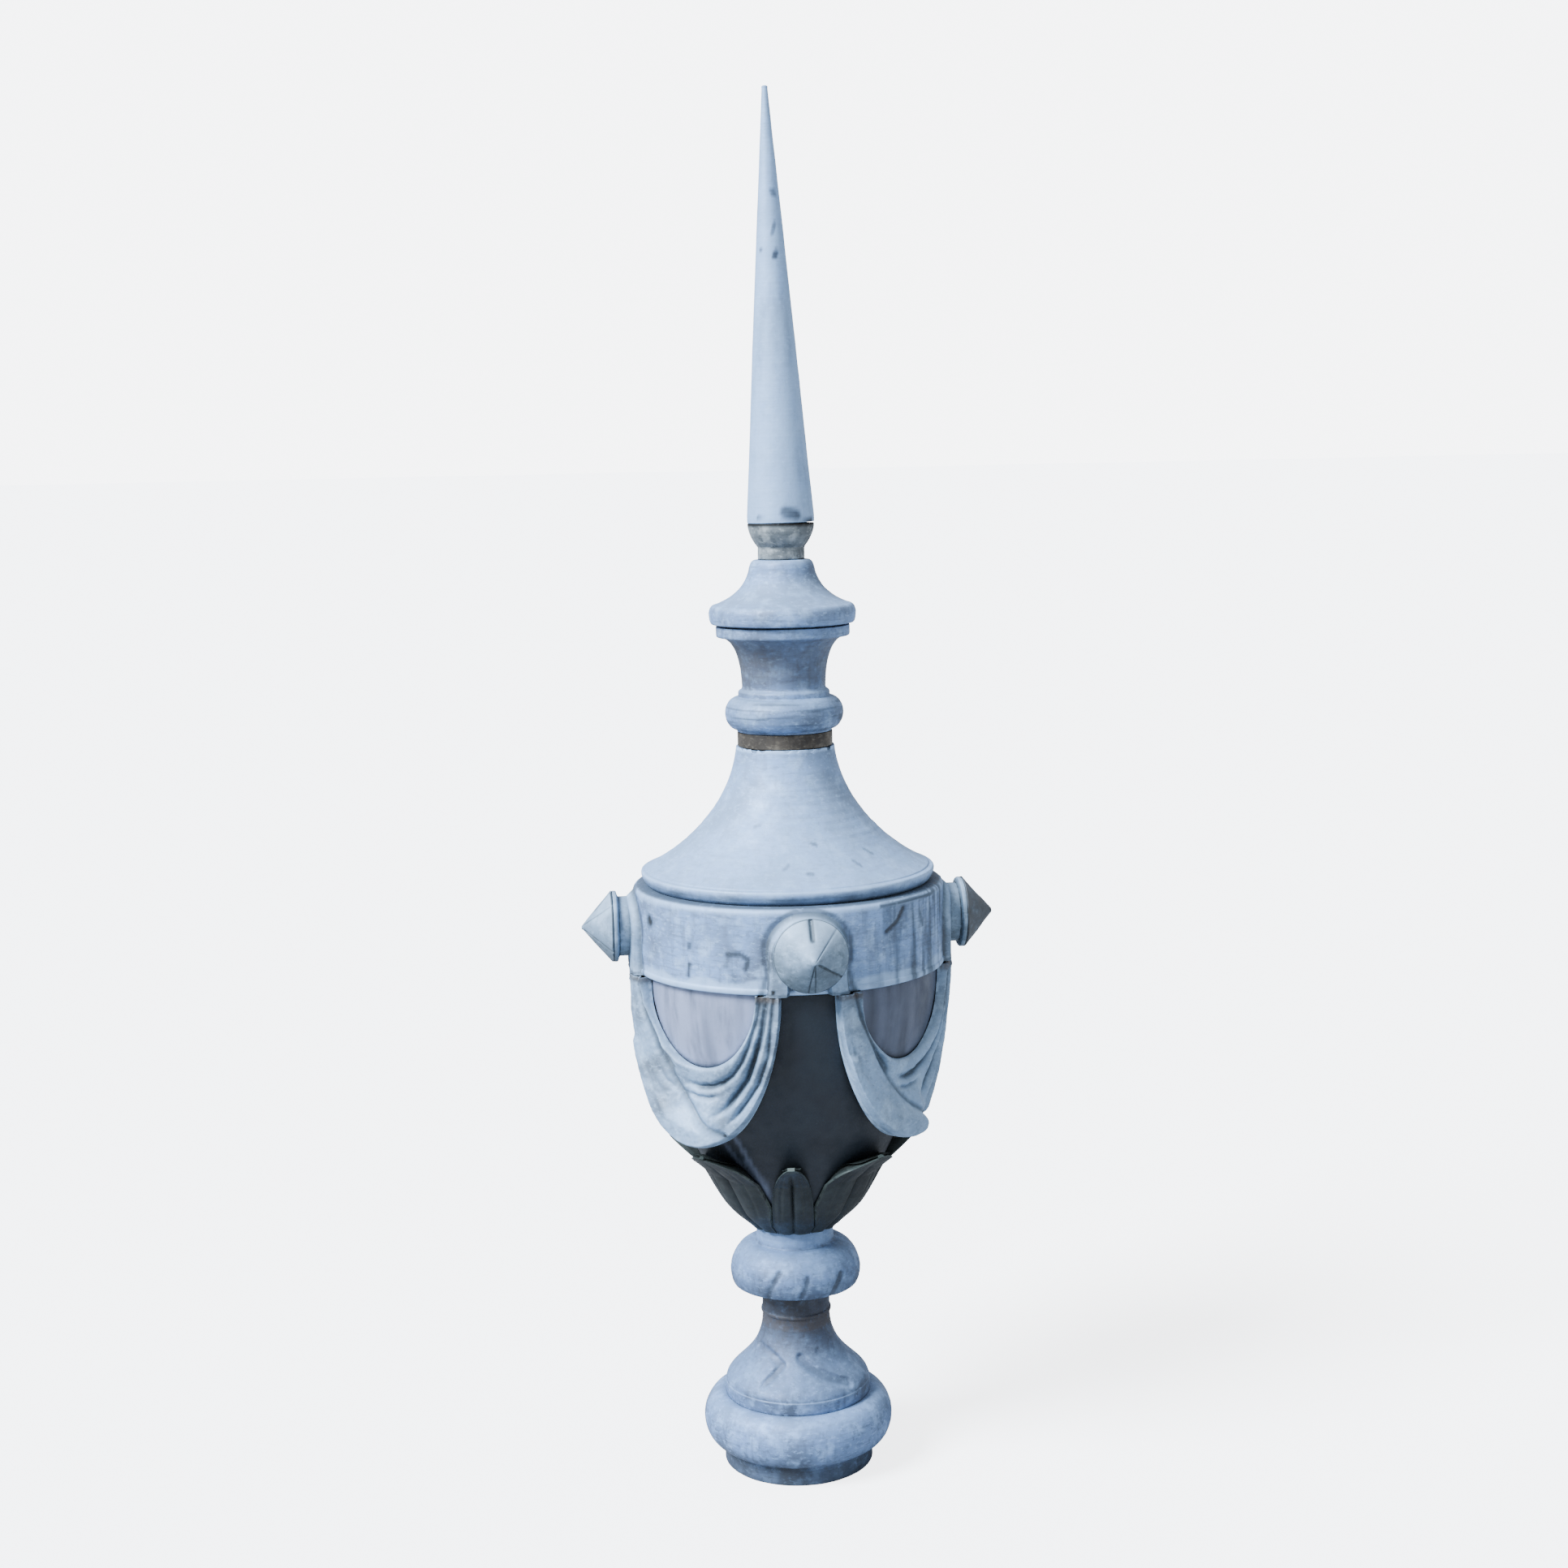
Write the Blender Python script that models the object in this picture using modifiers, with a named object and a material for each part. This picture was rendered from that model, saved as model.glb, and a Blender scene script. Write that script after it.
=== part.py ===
"""Sheet zinc roof finial: trumpet foot, leafed vase with four swags, trumpet lid, turned neck and spire.

Metres, +Z up, with the origin in the middle of the underside. The front boss faces -Y.
"""
import math

import bmesh
import bpy
from mathutils import Matrix, Vector

# Clearance between pieces that touch, and facets around the larger and the smaller turned pieces
GAP = 0.0003
WIDE_SEGMENTS = 36
SLIM_SEGMENTS = 24
BOSS_SEGMENTS = 16

# Foot: a plain fillet, a full roll, the trumpet on its own step, and a socket for the roof mast
FOOT_FILLET_RADIUS = 0.1027
FOOT_FILLET_HEIGHT = 0.028
FOOT_FILLET_EDGE = 0.0015
FOOT_ROLL_SEAT_RADIUS = 0.104
FOOT_ROLL_RADIUS = 0.130
FOOT_ROLL_HEIGHT = 0.0705
BELL_STEP_RADIUS = 0.100
BELL_STEP_HEIGHT = 0.0172
BELL_STEP_EDGE = 0.0012
BELL_NECK_RADIUS = 0.0466
BELL_FLARE_HEIGHT = 0.096
BELL_NECK_HEIGHT = 0.0435
SOLDER_RIDGE_BULGE = 0.0012
SOLDER_RIDGE_WIDTH = 0.006
MAST_SOCKET_RADIUS = 0.030

# Knop: a half-round roll with a flat underside, and the collar that carries the vase
KNOP_RIM_RADIUS = 0.0855
KNOP_BULGE = 0.009
KNOP_TOP_RADIUS = 0.060
KNOP_HEIGHT = 0.0580
COLLAR_RADIUS = 0.054
COLLAR_HEIGHT = 0.0105

# Vase: an egg-shaped bowl under a plain band that hangs over its mouth
BOWL_FOOT_RADIUS = 0.0465
BOWL_MOUTH_INSET = 0.008
BOWL_HEIGHT = 0.382
BAND_RADIUS = 0.208
BAND_HEIGHT = 0.1115
BAND_LIP_PROJECTION = 0.0015
BAND_LIP_HEIGHT = 0.008
BAND_SHOULDER_RUN = 0.0095
BAND_SHOULDER_RISE = 0.008

# Leaves around the bottom of the bowl, a narrow one under each boss and a wide one under each swag
LEAF_COUNT = 8
LEAF_TURN = math.radians(-7.7)
NARROW_LEAF_WIDTH = 0.056
WIDE_LEAF_WIDTH = 0.096
LEAF_HEIGHT = 0.140
LEAF_THICKNESS = 0.0048
LEAF_CURL = 0.020
LEAF_FLUTE = 0.0022
LEAF_STANDOFF = 0.0025
LEAF_ROWS = 6

# Bosses: a stepped collar and a cone, each on a horseshoe plate from which two swags hang
BOSS_COUNT = 4
BOSS_SIDES = ("front", "right", "back", "left")
BOSS_CENTRE_HEIGHT = 0.0564
BOSS_NECK_RADIUS = 0.040
BOSS_NECK_LENGTH = 0.011
BOSS_RIM_RADIUS = 0.0475
BOSS_RIM_LENGTH = 0.0075
BOSS_CONE_LENGTH = 0.0415
BOSS_CONE_EDGE = 0.002
HANGER_THICKNESS = 0.0085
HANGER_STANDOFF = 0.0006
HANGER_CROWN_RADIUS = 0.050
HANGER_LEG_SPREAD = 0.059
HANGER_NOTCH_RADIUS = 0.026
HANGER_ARC = math.radians(250)
HANGER_STEPS = 12

# Swags: cloth folds pressed in sheet, one between each two bosses
SWAG_COUNT = 4
SWAG_INNER_SPREAD = math.radians(26.3)
SWAG_OUTER_SPREAD = math.radians(35.2)
SWAG_INNER_DROP = 0.107
SWAG_OUTER_DROP = 0.213
SWAG_THICKNESS = 0.0055
SWAG_STANDOFF = 0.0020
SWAG_TUCK_DEPTH = 0.0115
SWAG_TUCK_START = math.radians(8)
SWAG_TUCK_END = math.radians(26)
SWAG_ARM_BULGE = 0.003
SWAG_FOLD = 0.009
SWAG_ROLLS = 3
SWAG_ROWS = 16
SWAG_COLUMNS = 6

# Lid: a rim bead and a spun trumpet
LID_BEAD_RADIUS = 0.196
LID_BEAD_HEIGHT = 0.020
LID_SEAT_RADIUS = 0.190
LID_FLARE_HEIGHT = 0.162
LID_TOP_RADIUS = 0.0655

# Neck: a dark sleeve, a turned roll and a waist that opens to a fillet
SLEEVE_RADIUS = 0.0635
SLEEVE_HEIGHT = 0.0195
NECK_ROLL_RADIUS = 0.0789
NECK_ROLL_HEIGHT = 0.046
NECK_ROLL_SEAT_HEIGHT = 0.003
NECK_STEP_RADIUS = 0.0610
NECK_STEP_HEIGHT = 0.006
WAIST_RADIUS = 0.0556
WAIST_HEIGHT = 0.0735
WAIST_COVE_HEIGHT = 0.006
NECK_FILLET_RADIUS = 0.0887
NECK_FILLET_HEIGHT = 0.015
NECK_FILLET_PROJECTION = 0.006

# Cap: a shadow groove, a rounded rim and a small trumpet
CAP_SEAT_RADIUS = 0.083
CAP_GROOVE_HEIGHT = 0.0025
CAP_RADIUS = 0.0977
CAP_RIM_HEIGHT = 0.0255
CAP_RIM_UNDERCUT = 0.004
CAP_RIM_SLOPE = 0.008
CAP_FLARE_HEIGHT = 0.045
CAP_TOP_RADIUS = 0.044
CAP_ROUNDING = 0.009
CAP_CROWN_HEIGHT = 0.0135

# Spire: a small collared bulb, and the long cone that leans a little on it
SOCKET_COLLAR_RADIUS = 0.031
SOCKET_COLLAR_HEIGHT = 0.016
SOCKET_BULB_RADIUS = 0.0445
SOCKET_BULB_HEIGHT = 0.031
CONE_BASE_RADIUS = 0.0442
CONE_SKIRT_HEIGHT = 0.0085
CONE_TIP_RADIUS = 0.0040
CONE_LENGTH = 0.5565
CONE_LEAN = math.radians(1.0)

# Heights of the seats, from the ground up
FOOT_TOP = FOOT_FILLET_HEIGHT + FOOT_ROLL_HEIGHT
BELL_TOP = FOOT_TOP + BELL_STEP_HEIGHT + BELL_FLARE_HEIGHT + BELL_NECK_HEIGHT
COLLAR_TOP = BELL_TOP + KNOP_HEIGHT + COLLAR_HEIGHT
BOWL_TOP = COLLAR_TOP + BOWL_HEIGHT
BAND_TOP = BOWL_TOP + BAND_HEIGHT
LID_TOP = BAND_TOP + LID_BEAD_HEIGHT + LID_FLARE_HEIGHT
SLEEVE_TOP = LID_TOP + SLEEVE_HEIGHT
NECK_TOP = SLEEVE_TOP + NECK_ROLL_HEIGHT + NECK_STEP_HEIGHT + WAIST_HEIGHT + NECK_FILLET_HEIGHT
CAP_TOP = NECK_TOP + CAP_GROOVE_HEIGHT + CAP_RIM_HEIGHT + CAP_FLARE_HEIGHT + CAP_CROWN_HEIGHT
SOCKET_TOP = CAP_TOP + SOCKET_COLLAR_HEIGHT + SOCKET_BULB_HEIGHT
BOSS_Z = BOWL_TOP + BOSS_CENTRE_HEIGHT

# Radii that pieces share: the bowl and the swags follow the band, the plates lie over its lip, and the
# bosses stand on the plates
BOWL_MOUTH_RADIUS = BAND_RADIUS - BOWL_MOUTH_INSET
SWAG_TUCK_RADIUS = BAND_RADIUS - SWAG_TUCK_DEPTH
HANGER_BACK = BAND_RADIUS + BAND_LIP_PROJECTION + HANGER_STANDOFF
HANGER_FRONT = HANGER_BACK + HANGER_THICKNESS
BOSS_RIM_FACE = HANGER_FRONT + BOSS_NECK_LENGTH + BOSS_RIM_LENGTH


def sheet_zinc(name, colour, roughness):
    """A Principled material in the weathered zinc of one piece."""
    material = bpy.data.materials.new(name)
    material.use_nodes = True
    shader = material.node_tree.nodes["Principled BSDF"]
    shader.inputs["Base Color"].default_value = (*colour, 1.0)
    shader.inputs["Roughness"].default_value = roughness
    shader.inputs["Metallic"].default_value = 0.55
    return material


def add_object(name, mesh, colour, roughness=0.55):
    """One named piece with its own material, in the finial's collection."""
    piece = bpy.data.objects.new(name, mesh)
    mesh.materials.append(sheet_zinc(name + "_zinc", colour, roughness))
    finial.objects.link(piece)
    return piece


def curve_points(start, near, far, end, steps):
    """The points of a cubic curve after its start; near and far are its handles."""
    points = []
    for step in range(1, steps + 1):
        t = step / steps
        weights = ((1 - t) ** 3, 3 * t * (1 - t) ** 2, 3 * t * t * (1 - t), t ** 3)
        corners = (start, near, far, end)
        points.append(tuple(sum(w * c[axis] for w, c in zip(weights, corners)) for axis in (0, 1)))
    return points


def flare(start, end, near, far, steps):
    """A trumpet curve; near and far place its handles as shares of the whole run and rise."""
    run = end[0] - start[0]
    rise = end[1] - start[1]
    handles = [(start[0] + share[0] * run, start[1] + share[1] * rise) for share in (near, far)]
    return curve_points(start, handles[0], handles[1], end, steps)


def half_roll(low, high, radius, steps):
    """A half-round moulding between two points, out to a radius at its middle."""
    points = []
    for step in range(1, steps + 1):
        angle = math.pi * step / steps
        share = (1 - math.cos(angle)) / 2
        inner = low[0] + share * (high[0] - low[0])
        points.append((inner + (radius - inner) * math.sin(angle), low[1] + share * (high[1] - low[1])))
    return points


def turned(name, profile, segments, colour, roughness=0.55, bore=None):
    """A turned piece from the outline of its outer side, bottom to top, solid or around a bore."""
    inner = bore or 0.0
    outline = [(inner, profile[0][1])] + list(profile) + [(inner, profile[-1][1])]
    outline.reverse()
    edges = [(i, i + 1) for i in range(len(outline) - 1)]
    if bore:
        edges.append((len(outline) - 1, 0))
    mesh = bpy.data.meshes.new(name)
    mesh.from_pydata([(radius, 0.0, height) for radius, height in outline], edges, [])
    piece = add_object(name, mesh, colour, roughness)
    screw = piece.modifiers.new("turn", "SCREW")
    screw.steps = screw.render_steps = segments
    screw.use_merge_vertices = True
    screw.merge_threshold = 0.00001
    screw.use_smooth_shade = True
    return piece


def closed_sheet(name, front, back, colour, roughness=0.55):
    """A closed plate between a front and a back grid of points."""
    rows = len(front)
    columns = len(front[0])
    body = bmesh.new()
    sides = [[[body.verts.new(point) for point in row] for row in grid] for grid in (front, back)]
    for grid in sides:
        for i in range(rows - 1):
            for j in range(columns - 1):
                body.faces.new((grid[i][j], grid[i][j + 1], grid[i + 1][j + 1], grid[i + 1][j]))
    border = [(0, j) for j in range(columns)] + [(i, columns - 1) for i in range(1, rows)]
    border += [(rows - 1, j) for j in range(columns - 2, -1, -1)] + [(i, 0) for i in range(rows - 2, 0, -1)]
    for (i, j), (k, m) in zip(border, border[1:] + border[:1]):
        body.faces.new((sides[0][i][j], sides[0][k][m], sides[1][k][m], sides[1][i][j]))
    bmesh.ops.recalc_face_normals(body, faces=body.faces)
    mesh = bpy.data.meshes.new(name)
    body.to_mesh(mesh)
    body.free()
    mesh.shade_smooth()
    mesh.set_sharp_from_angle(angle=math.radians(40))
    return add_object(name, mesh, colour, roughness)


def around(radius, turn, height):
    """A point at a radius and height, turned about the axis from the front."""
    return Vector((radius * math.sin(turn), -radius * math.cos(turn), height))


def smooth_step(low, high, value):
    """0 below low, 1 above high, and an easy passage between."""
    share = min(1.0, max(0.0, (value - low) / (high - low)))
    return share * share * (3 - 2 * share)


def bowl_profile():
    """The egg outline of the bowl, bottom to top."""
    start = (BOWL_FOOT_RADIUS, COLLAR_TOP + GAP)
    end = (BOWL_MOUTH_RADIUS, BOWL_TOP - GAP)
    return [start] + flare(start, end, (0.36, 0.118), (1.04, 0.645), 9)


def bowl_radius(height):
    """The bowl's radius at a height."""
    outline = bowl_profile()
    for (r0, z0), (r1, z1) in zip(outline, outline[1:]):
        if height <= z1:
            return r0 + (r1 - r0) * max(0.0, (height - z0) / (z1 - z0))
    return outline[-1][0]


def make_foot():
    """The foot in two pieces, bored for the mast."""
    fillet_top = (FOOT_FILLET_RADIUS, FOOT_FILLET_HEIGHT - FOOT_FILLET_EDGE)
    roll_low = (FOOT_ROLL_SEAT_RADIUS, FOOT_FILLET_HEIGHT)
    roll_high = (FOOT_ROLL_SEAT_RADIUS, FOOT_TOP - GAP)
    base = [(FOOT_FILLET_RADIUS, 0.0), fillet_top, roll_low]
    base += half_roll(roll_low, roll_high, FOOT_ROLL_RADIUS, 7)
    turned("foot_base", base, SLIM_SEGMENTS, (0.42, 0.49, 0.60), bore=MAST_SOCKET_RADIUS)

    step_top = FOOT_TOP + BELL_STEP_HEIGHT
    flare_start = (BELL_STEP_RADIUS - BELL_STEP_EDGE, step_top)
    neck_start = (BELL_NECK_RADIUS, step_top + BELL_FLARE_HEIGHT)
    bell = [(BELL_STEP_RADIUS, FOOT_TOP), (BELL_STEP_RADIUS, step_top - BELL_STEP_EDGE), flare_start]
    bell += flare(flare_start, neck_start, (0.0, 0.22), (1.0, 0.36), 7)
    ridge = neck_start[1] + SOLDER_RIDGE_WIDTH
    bell += half_roll(neck_start, (BELL_NECK_RADIUS, ridge), BELL_NECK_RADIUS + SOLDER_RIDGE_BULGE, 2)
    bell += [(BELL_NECK_RADIUS, BELL_TOP - GAP)]
    turned("foot_bell", bell, SLIM_SEGMENTS, (0.36, 0.42, 0.52), bore=MAST_SOCKET_RADIUS)


def make_knop():
    """The half-round knop with the collar under the leaves."""
    rim = (KNOP_RIM_RADIUS, BELL_TOP)
    shoulder = (KNOP_TOP_RADIUS, BELL_TOP + KNOP_HEIGHT)
    near = (KNOP_RIM_RADIUS + KNOP_BULGE, BELL_TOP + 0.28 * KNOP_HEIGHT)
    far = (KNOP_RIM_RADIUS + 0.28 * KNOP_BULGE, BELL_TOP + 0.9 * KNOP_HEIGHT)
    outline = [rim] + curve_points(rim, near, far, shoulder, 6)
    outline += [(COLLAR_RADIUS, shoulder[1]), (COLLAR_RADIUS, COLLAR_TOP)]
    turned("knop", outline, SLIM_SEGMENTS, (0.40, 0.46, 0.58))


def make_bowl():
    """The egg-shaped bowl behind the swags."""
    turned("bowl", bowl_profile(), WIDE_SEGMENTS, (0.06, 0.075, 0.10), 0.5)


def leaf_half_width(wide, share, radius):
    """Half a leaf's width at a share of its height: neighbours touch at the bottom, tips are rounded."""
    pitch = radius * math.tau / LEAF_COUNT
    rounding = max(0.0, (share - 0.35) / 0.68)
    narrow_half = min(0.5 * NARROW_LEAF_WIDTH * math.sqrt(1 - rounding ** 3), pitch / 2 - GAP)
    if not wide:
        return narrow_half
    return min(0.5 * WIDE_LEAF_WIDTH * math.sqrt(1 - rounding ** 5), pitch - narrow_half - 2 * GAP)


def leaf_grid(wide, centre_turn, depth):
    """Points of a leaf's front, or of its back where depth is the leaf's thickness."""
    grid = []
    for row in range(LEAF_ROWS + 1):
        share = (row / LEAF_ROWS) ** 1.3
        height = COLLAR_TOP + GAP + LEAF_HEIGHT * share
        curl = LEAF_CURL * max(0.0, (share - 0.6) / 0.4) ** 2
        radius = bowl_radius(height) + LEAF_STANDOFF + LEAF_THICKNESS + curl
        half = leaf_half_width(wide, share, radius)
        line = []
        for across in (-1.0, -0.5, 0.0, 0.5, 1.0):
            flute = 0.0 if depth else LEAF_FLUTE * math.sin(math.pi * abs(across)) * (1 - share)
            turn = centre_turn + across * half / radius
            line.append(around(radius + flute - depth, turn, height))
        grid.append(line)
    return grid


def make_leaves():
    """Eight pressed leaves, side by side at the bottom and curled out at their tips."""
    for count in range(LEAF_COUNT):
        turn = LEAF_TURN + count * math.tau / LEAF_COUNT
        wide = count % 2 == 1
        front = leaf_grid(wide, turn, 0.0)
        back = leaf_grid(wide, turn, LEAF_THICKNESS)
        closed_sheet("leaf_%d" % (count + 1), front, back, (0.055, 0.07, 0.075), 0.6)


def make_band():
    """The plain band with a rolled lower lip and a shoulder under the lid."""
    lip_top = BOWL_TOP + BAND_LIP_HEIGHT
    low = (BAND_RADIUS, BOWL_TOP)
    outline = [low] + half_roll(low, (BAND_RADIUS, lip_top), BAND_RADIUS + BAND_LIP_PROJECTION, 2)
    shoulder = (BAND_RADIUS, BAND_TOP - BAND_SHOULDER_RISE)
    outline += [shoulder]
    top = (BAND_RADIUS - BAND_SHOULDER_RUN, BAND_TOP - GAP)
    outline += flare(shoulder, top, (0.0, 0.5), (0.4, 1.0), 2)
    turned("frieze_band", outline, WIDE_SEGMENTS, (0.46, 0.53, 0.66))


def make_lid():
    """The trumpet lid on its rim bead."""
    bead_low = (LID_SEAT_RADIUS, BAND_TOP)
    bead_high = (LID_SEAT_RADIUS, BAND_TOP + LID_BEAD_HEIGHT)
    top = (LID_TOP_RADIUS, LID_TOP - GAP)
    outline = [bead_low] + half_roll(bead_low, bead_high, LID_BEAD_RADIUS, 3)
    outline += flare(bead_high, top, (0.40, 0.142), (0.948, 0.537), 8)
    turned("lid", outline, WIDE_SEGMENTS, (0.46, 0.54, 0.68))


def make_neck():
    """The dark sleeve, and the baluster with its roll, waist and fillet."""
    sleeve = [(SLEEVE_RADIUS, LID_TOP), (SLEEVE_RADIUS, SLEEVE_TOP - GAP)]
    turned("neck_sleeve", sleeve, SLIM_SEGMENTS, (0.09, 0.075, 0.065), 0.7)

    roll_low = (SLEEVE_RADIUS, SLEEVE_TOP)
    roll_high = (NECK_STEP_RADIUS, SLEEVE_TOP + NECK_ROLL_HEIGHT)
    step_high = (NECK_STEP_RADIUS, roll_high[1] + NECK_STEP_HEIGHT)
    waist_low = (WAIST_RADIUS, step_high[1] + WAIST_COVE_HEIGHT)
    waist_high = (NECK_FILLET_RADIUS - NECK_FILLET_PROJECTION, step_high[1] + WAIST_HEIGHT)
    outline = [roll_low, (SLEEVE_RADIUS, roll_low[1] + NECK_ROLL_SEAT_HEIGHT)]
    outline += half_roll(outline[-1], roll_high, NECK_ROLL_RADIUS, 5) + [step_high, waist_low]
    outline += flare(waist_low, waist_high, (0.02, 0.52), (0.28, 0.93), 6)
    outline += [(NECK_FILLET_RADIUS, waist_high[1]), (NECK_FILLET_RADIUS, NECK_TOP - GAP)]
    turned("neck_baluster", outline, SLIM_SEGMENTS, (0.38, 0.44, 0.55))


def make_cap():
    """The mushroom cap over a shadow groove."""
    groove_top = NECK_TOP + CAP_GROOVE_HEIGHT
    rim_low = (CAP_RADIUS - CAP_RIM_UNDERCUT, groove_top)
    rim_high = (CAP_RADIUS - CAP_RIM_SLOPE, groove_top + CAP_RIM_HEIGHT)
    flare_top = (CAP_TOP_RADIUS, rim_high[1] + CAP_FLARE_HEIGHT)
    outline = [(CAP_SEAT_RADIUS, NECK_TOP), (CAP_SEAT_RADIUS, groove_top), rim_low]
    outline += half_roll(rim_low, rim_high, CAP_RADIUS, 3)
    outline += flare(rim_high, flare_top, (0.48, 0.18), (0.88, 0.47), 5)
    crown = (CAP_TOP_RADIUS - CAP_ROUNDING, CAP_TOP - GAP)
    outline += flare(flare_top, crown, (0.12, 0.55), (0.45, 1.0), 2)
    turned("cap", outline, SLIM_SEGMENTS, (0.48, 0.56, 0.70))


def make_spire():
    """The bulb socket, and the long cone that leans towards -X on its cracked seam."""
    collar_top = (SOCKET_COLLAR_RADIUS, CAP_TOP + SOCKET_COLLAR_HEIGHT)
    bulb_top = (SOCKET_BULB_RADIUS, SOCKET_TOP)
    socket = [(SOCKET_COLLAR_RADIUS, CAP_TOP), collar_top]
    socket += flare(collar_top, bulb_top, (0.55, 0.30), (0.97, 0.66), 3)
    turned("spire_socket", socket, SLIM_SEGMENTS, (0.30, 0.30, 0.28), 0.7)

    taper_start = (CONE_BASE_RADIUS, CONE_SKIRT_HEIGHT)
    taper_end = (CONE_TIP_RADIUS, CONE_LENGTH - CONE_TIP_RADIUS)
    tip = (CONE_TIP_RADIUS / 2, CONE_LENGTH)
    outline = [(CONE_BASE_RADIUS, 0.0), taper_start, taper_end, tip]
    cone = turned("spire_cone", outline, SLIM_SEGMENTS, (0.48, 0.55, 0.68))
    seam = GAP + CONE_BASE_RADIUS * math.sin(CONE_LEAN)
    cone.location = (0.0, 0.0, SOCKET_TOP + seam)
    cone.rotation_euler = (0.0, -CONE_LEAN, 0.0)


def hanger_grid(turn, radius):
    """The horseshoe plate's points at a radius, from its left leg over the crown to its right leg."""
    drop = BOSS_CENTRE_HEIGHT
    grid = []
    for step in range(HANGER_STEPS + 1):
        angle = HANGER_ARC * (step / HANGER_STEPS - 0.5)
        side = math.sin(angle)
        crown = (HANGER_CROWN_RADIUS * side, HANGER_CROWN_RADIUS * math.cos(angle))
        notch = (HANGER_NOTCH_RADIUS * side, HANGER_NOTCH_RADIUS * math.cos(angle) - HANGER_NOTCH_RADIUS)
        if step in (0, HANGER_STEPS):
            leg = math.copysign(1.0, side)
            crown = (HANGER_LEG_SPREAD * leg, -drop)
            notch = (HANGER_NOTCH_RADIUS * leg, -drop)
        row = []
        for share in (0.0, 1.0):
            along = crown[0] + share * (notch[0] - crown[0])
            height = BOSS_Z + crown[1] + share * (notch[1] - crown[1])
            row.append(around(radius, turn + along / HANGER_FRONT, height))
        grid.append(row)
    return grid


def make_boss_collar(side, turn):
    """A stepped collar, hollowed at the back to lie on its plate."""
    neck_end = HANGER_FRONT + BOSS_NECK_LENGTH
    outline = [(BOSS_NECK_RADIUS, HANGER_FRONT - BOSS_NECK_LENGTH), (BOSS_NECK_RADIUS, neck_end)]
    outline += [(BOSS_RIM_RADIUS, neck_end + BOSS_RIM_LENGTH / 3), (BOSS_RIM_RADIUS, BOSS_RIM_FACE - GAP)]
    collar = turned("boss_collar_" + side, outline, BOSS_SEGMENTS, (0.36, 0.42, 0.50))
    collar.location = (0.0, 0.0, BOSS_Z)
    collar.rotation_euler = (math.pi / 2, 0.0, turn)
    seat = collar.modifiers.new("seat", "BOOLEAN")
    seat.object = plate_cutter
    seat.solver = "EXACT"


def make_boss_cap(side, turn):
    """The cone soldered on a collar."""
    edge = BOSS_RIM_FACE + BOSS_CONE_EDGE
    tip = BOSS_RIM_FACE + BOSS_CONE_LENGTH
    outline = [(BOSS_RIM_RADIUS, BOSS_RIM_FACE), (BOSS_RIM_RADIUS, edge), (BOSS_CONE_EDGE, tip)]
    cone = turned("boss_cap_" + side, outline, BOSS_SEGMENTS, (0.42, 0.49, 0.58))
    cone.location = (0.0, 0.0, BOSS_Z)
    cone.rotation_euler = (math.pi / 2, 0.0, turn)


def make_bosses():
    """Four bosses, each with its plate, collar and cone."""
    for count, side in enumerate(BOSS_SIDES):
        turn = count * math.tau / BOSS_COUNT
        front = hanger_grid(turn, HANGER_FRONT)
        back = hanger_grid(turn, HANGER_BACK)
        closed_sheet("swag_hanger_" + side, front, back, (0.45, 0.53, 0.64))
        make_boss_collar(side, turn)
        make_boss_cap(side, turn)


def swag_front_radius(angle, lane, across, height):
    """How far the folded cloth stands from the axis: three rolls, the outer one broad on the left arm."""
    side = math.sin(angle)
    left = BAND_RADIUS + (HANGER_FRONT + SWAG_ARM_BULGE - BAND_RADIUS) * side ** 2
    right = SWAG_TUCK_RADIUS + (HANGER_FRONT - SWAG_TUCK_RADIUS) * side ** 4
    hem = left + (right - left) * smooth_step(SWAG_TUCK_START, SWAG_TUCK_END, angle)
    inner = bowl_radius(height) + SWAG_STANDOFF + SWAG_THICKNESS
    inner += (HANGER_FRONT - inner) * side ** 2
    depth = SWAG_FOLD * (1 - 0.6 * side ** 4)
    folds = depth * (0.5 - 0.5 * math.cos(SWAG_ROLLS * math.tau * lane))
    return inner + (hem - inner) * smooth_step(0.0, 0.8, across) + folds - depth / 2


def swag_grids(turn):
    """Front and back points of one swag, from its left arm down and up to its right arm."""
    front = []
    back = []
    for step in range(SWAG_ROWS + 1):
        angle = math.pi * (step / SWAG_ROWS - 0.5)
        side = math.sin(angle)
        front_row = []
        back_row = []
        for column in range(SWAG_COLUMNS + 1):
            lane = column / SWAG_COLUMNS
            across = lane ** (1.2 - 0.2 * side)
            spread = SWAG_INNER_SPREAD + (SWAG_OUTER_SPREAD - SWAG_INNER_SPREAD) * across
            drop = SWAG_INNER_DROP + (SWAG_OUTER_DROP - SWAG_INNER_DROP) * across
            height = BOWL_TOP - GAP - drop * max(0.0, math.cos(angle))
            wall = bowl_radius(height) + SWAG_STANDOFF
            radius = max(swag_front_radius(angle, lane, across, height), wall + SWAG_THICKNESS)
            place = turn + spread * side
            front_row.append(around(radius, place, height))
            hollow = radius - SWAG_THICKNESS
            back_row.append(around(hollow + (wall - hollow) * side ** 6, place, height))
        front.append(front_row)
        back.append(back_row)
    return front, back


def make_swags():
    """Four swags, each midway between two bosses."""
    for count in range(SWAG_COUNT):
        turn = (count + 0.5) * math.tau / SWAG_COUNT
        front, back = swag_grids(turn)
        closed_sheet("swag_%d" % (count + 1), front, back, (0.46, 0.55, 0.66))


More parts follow.
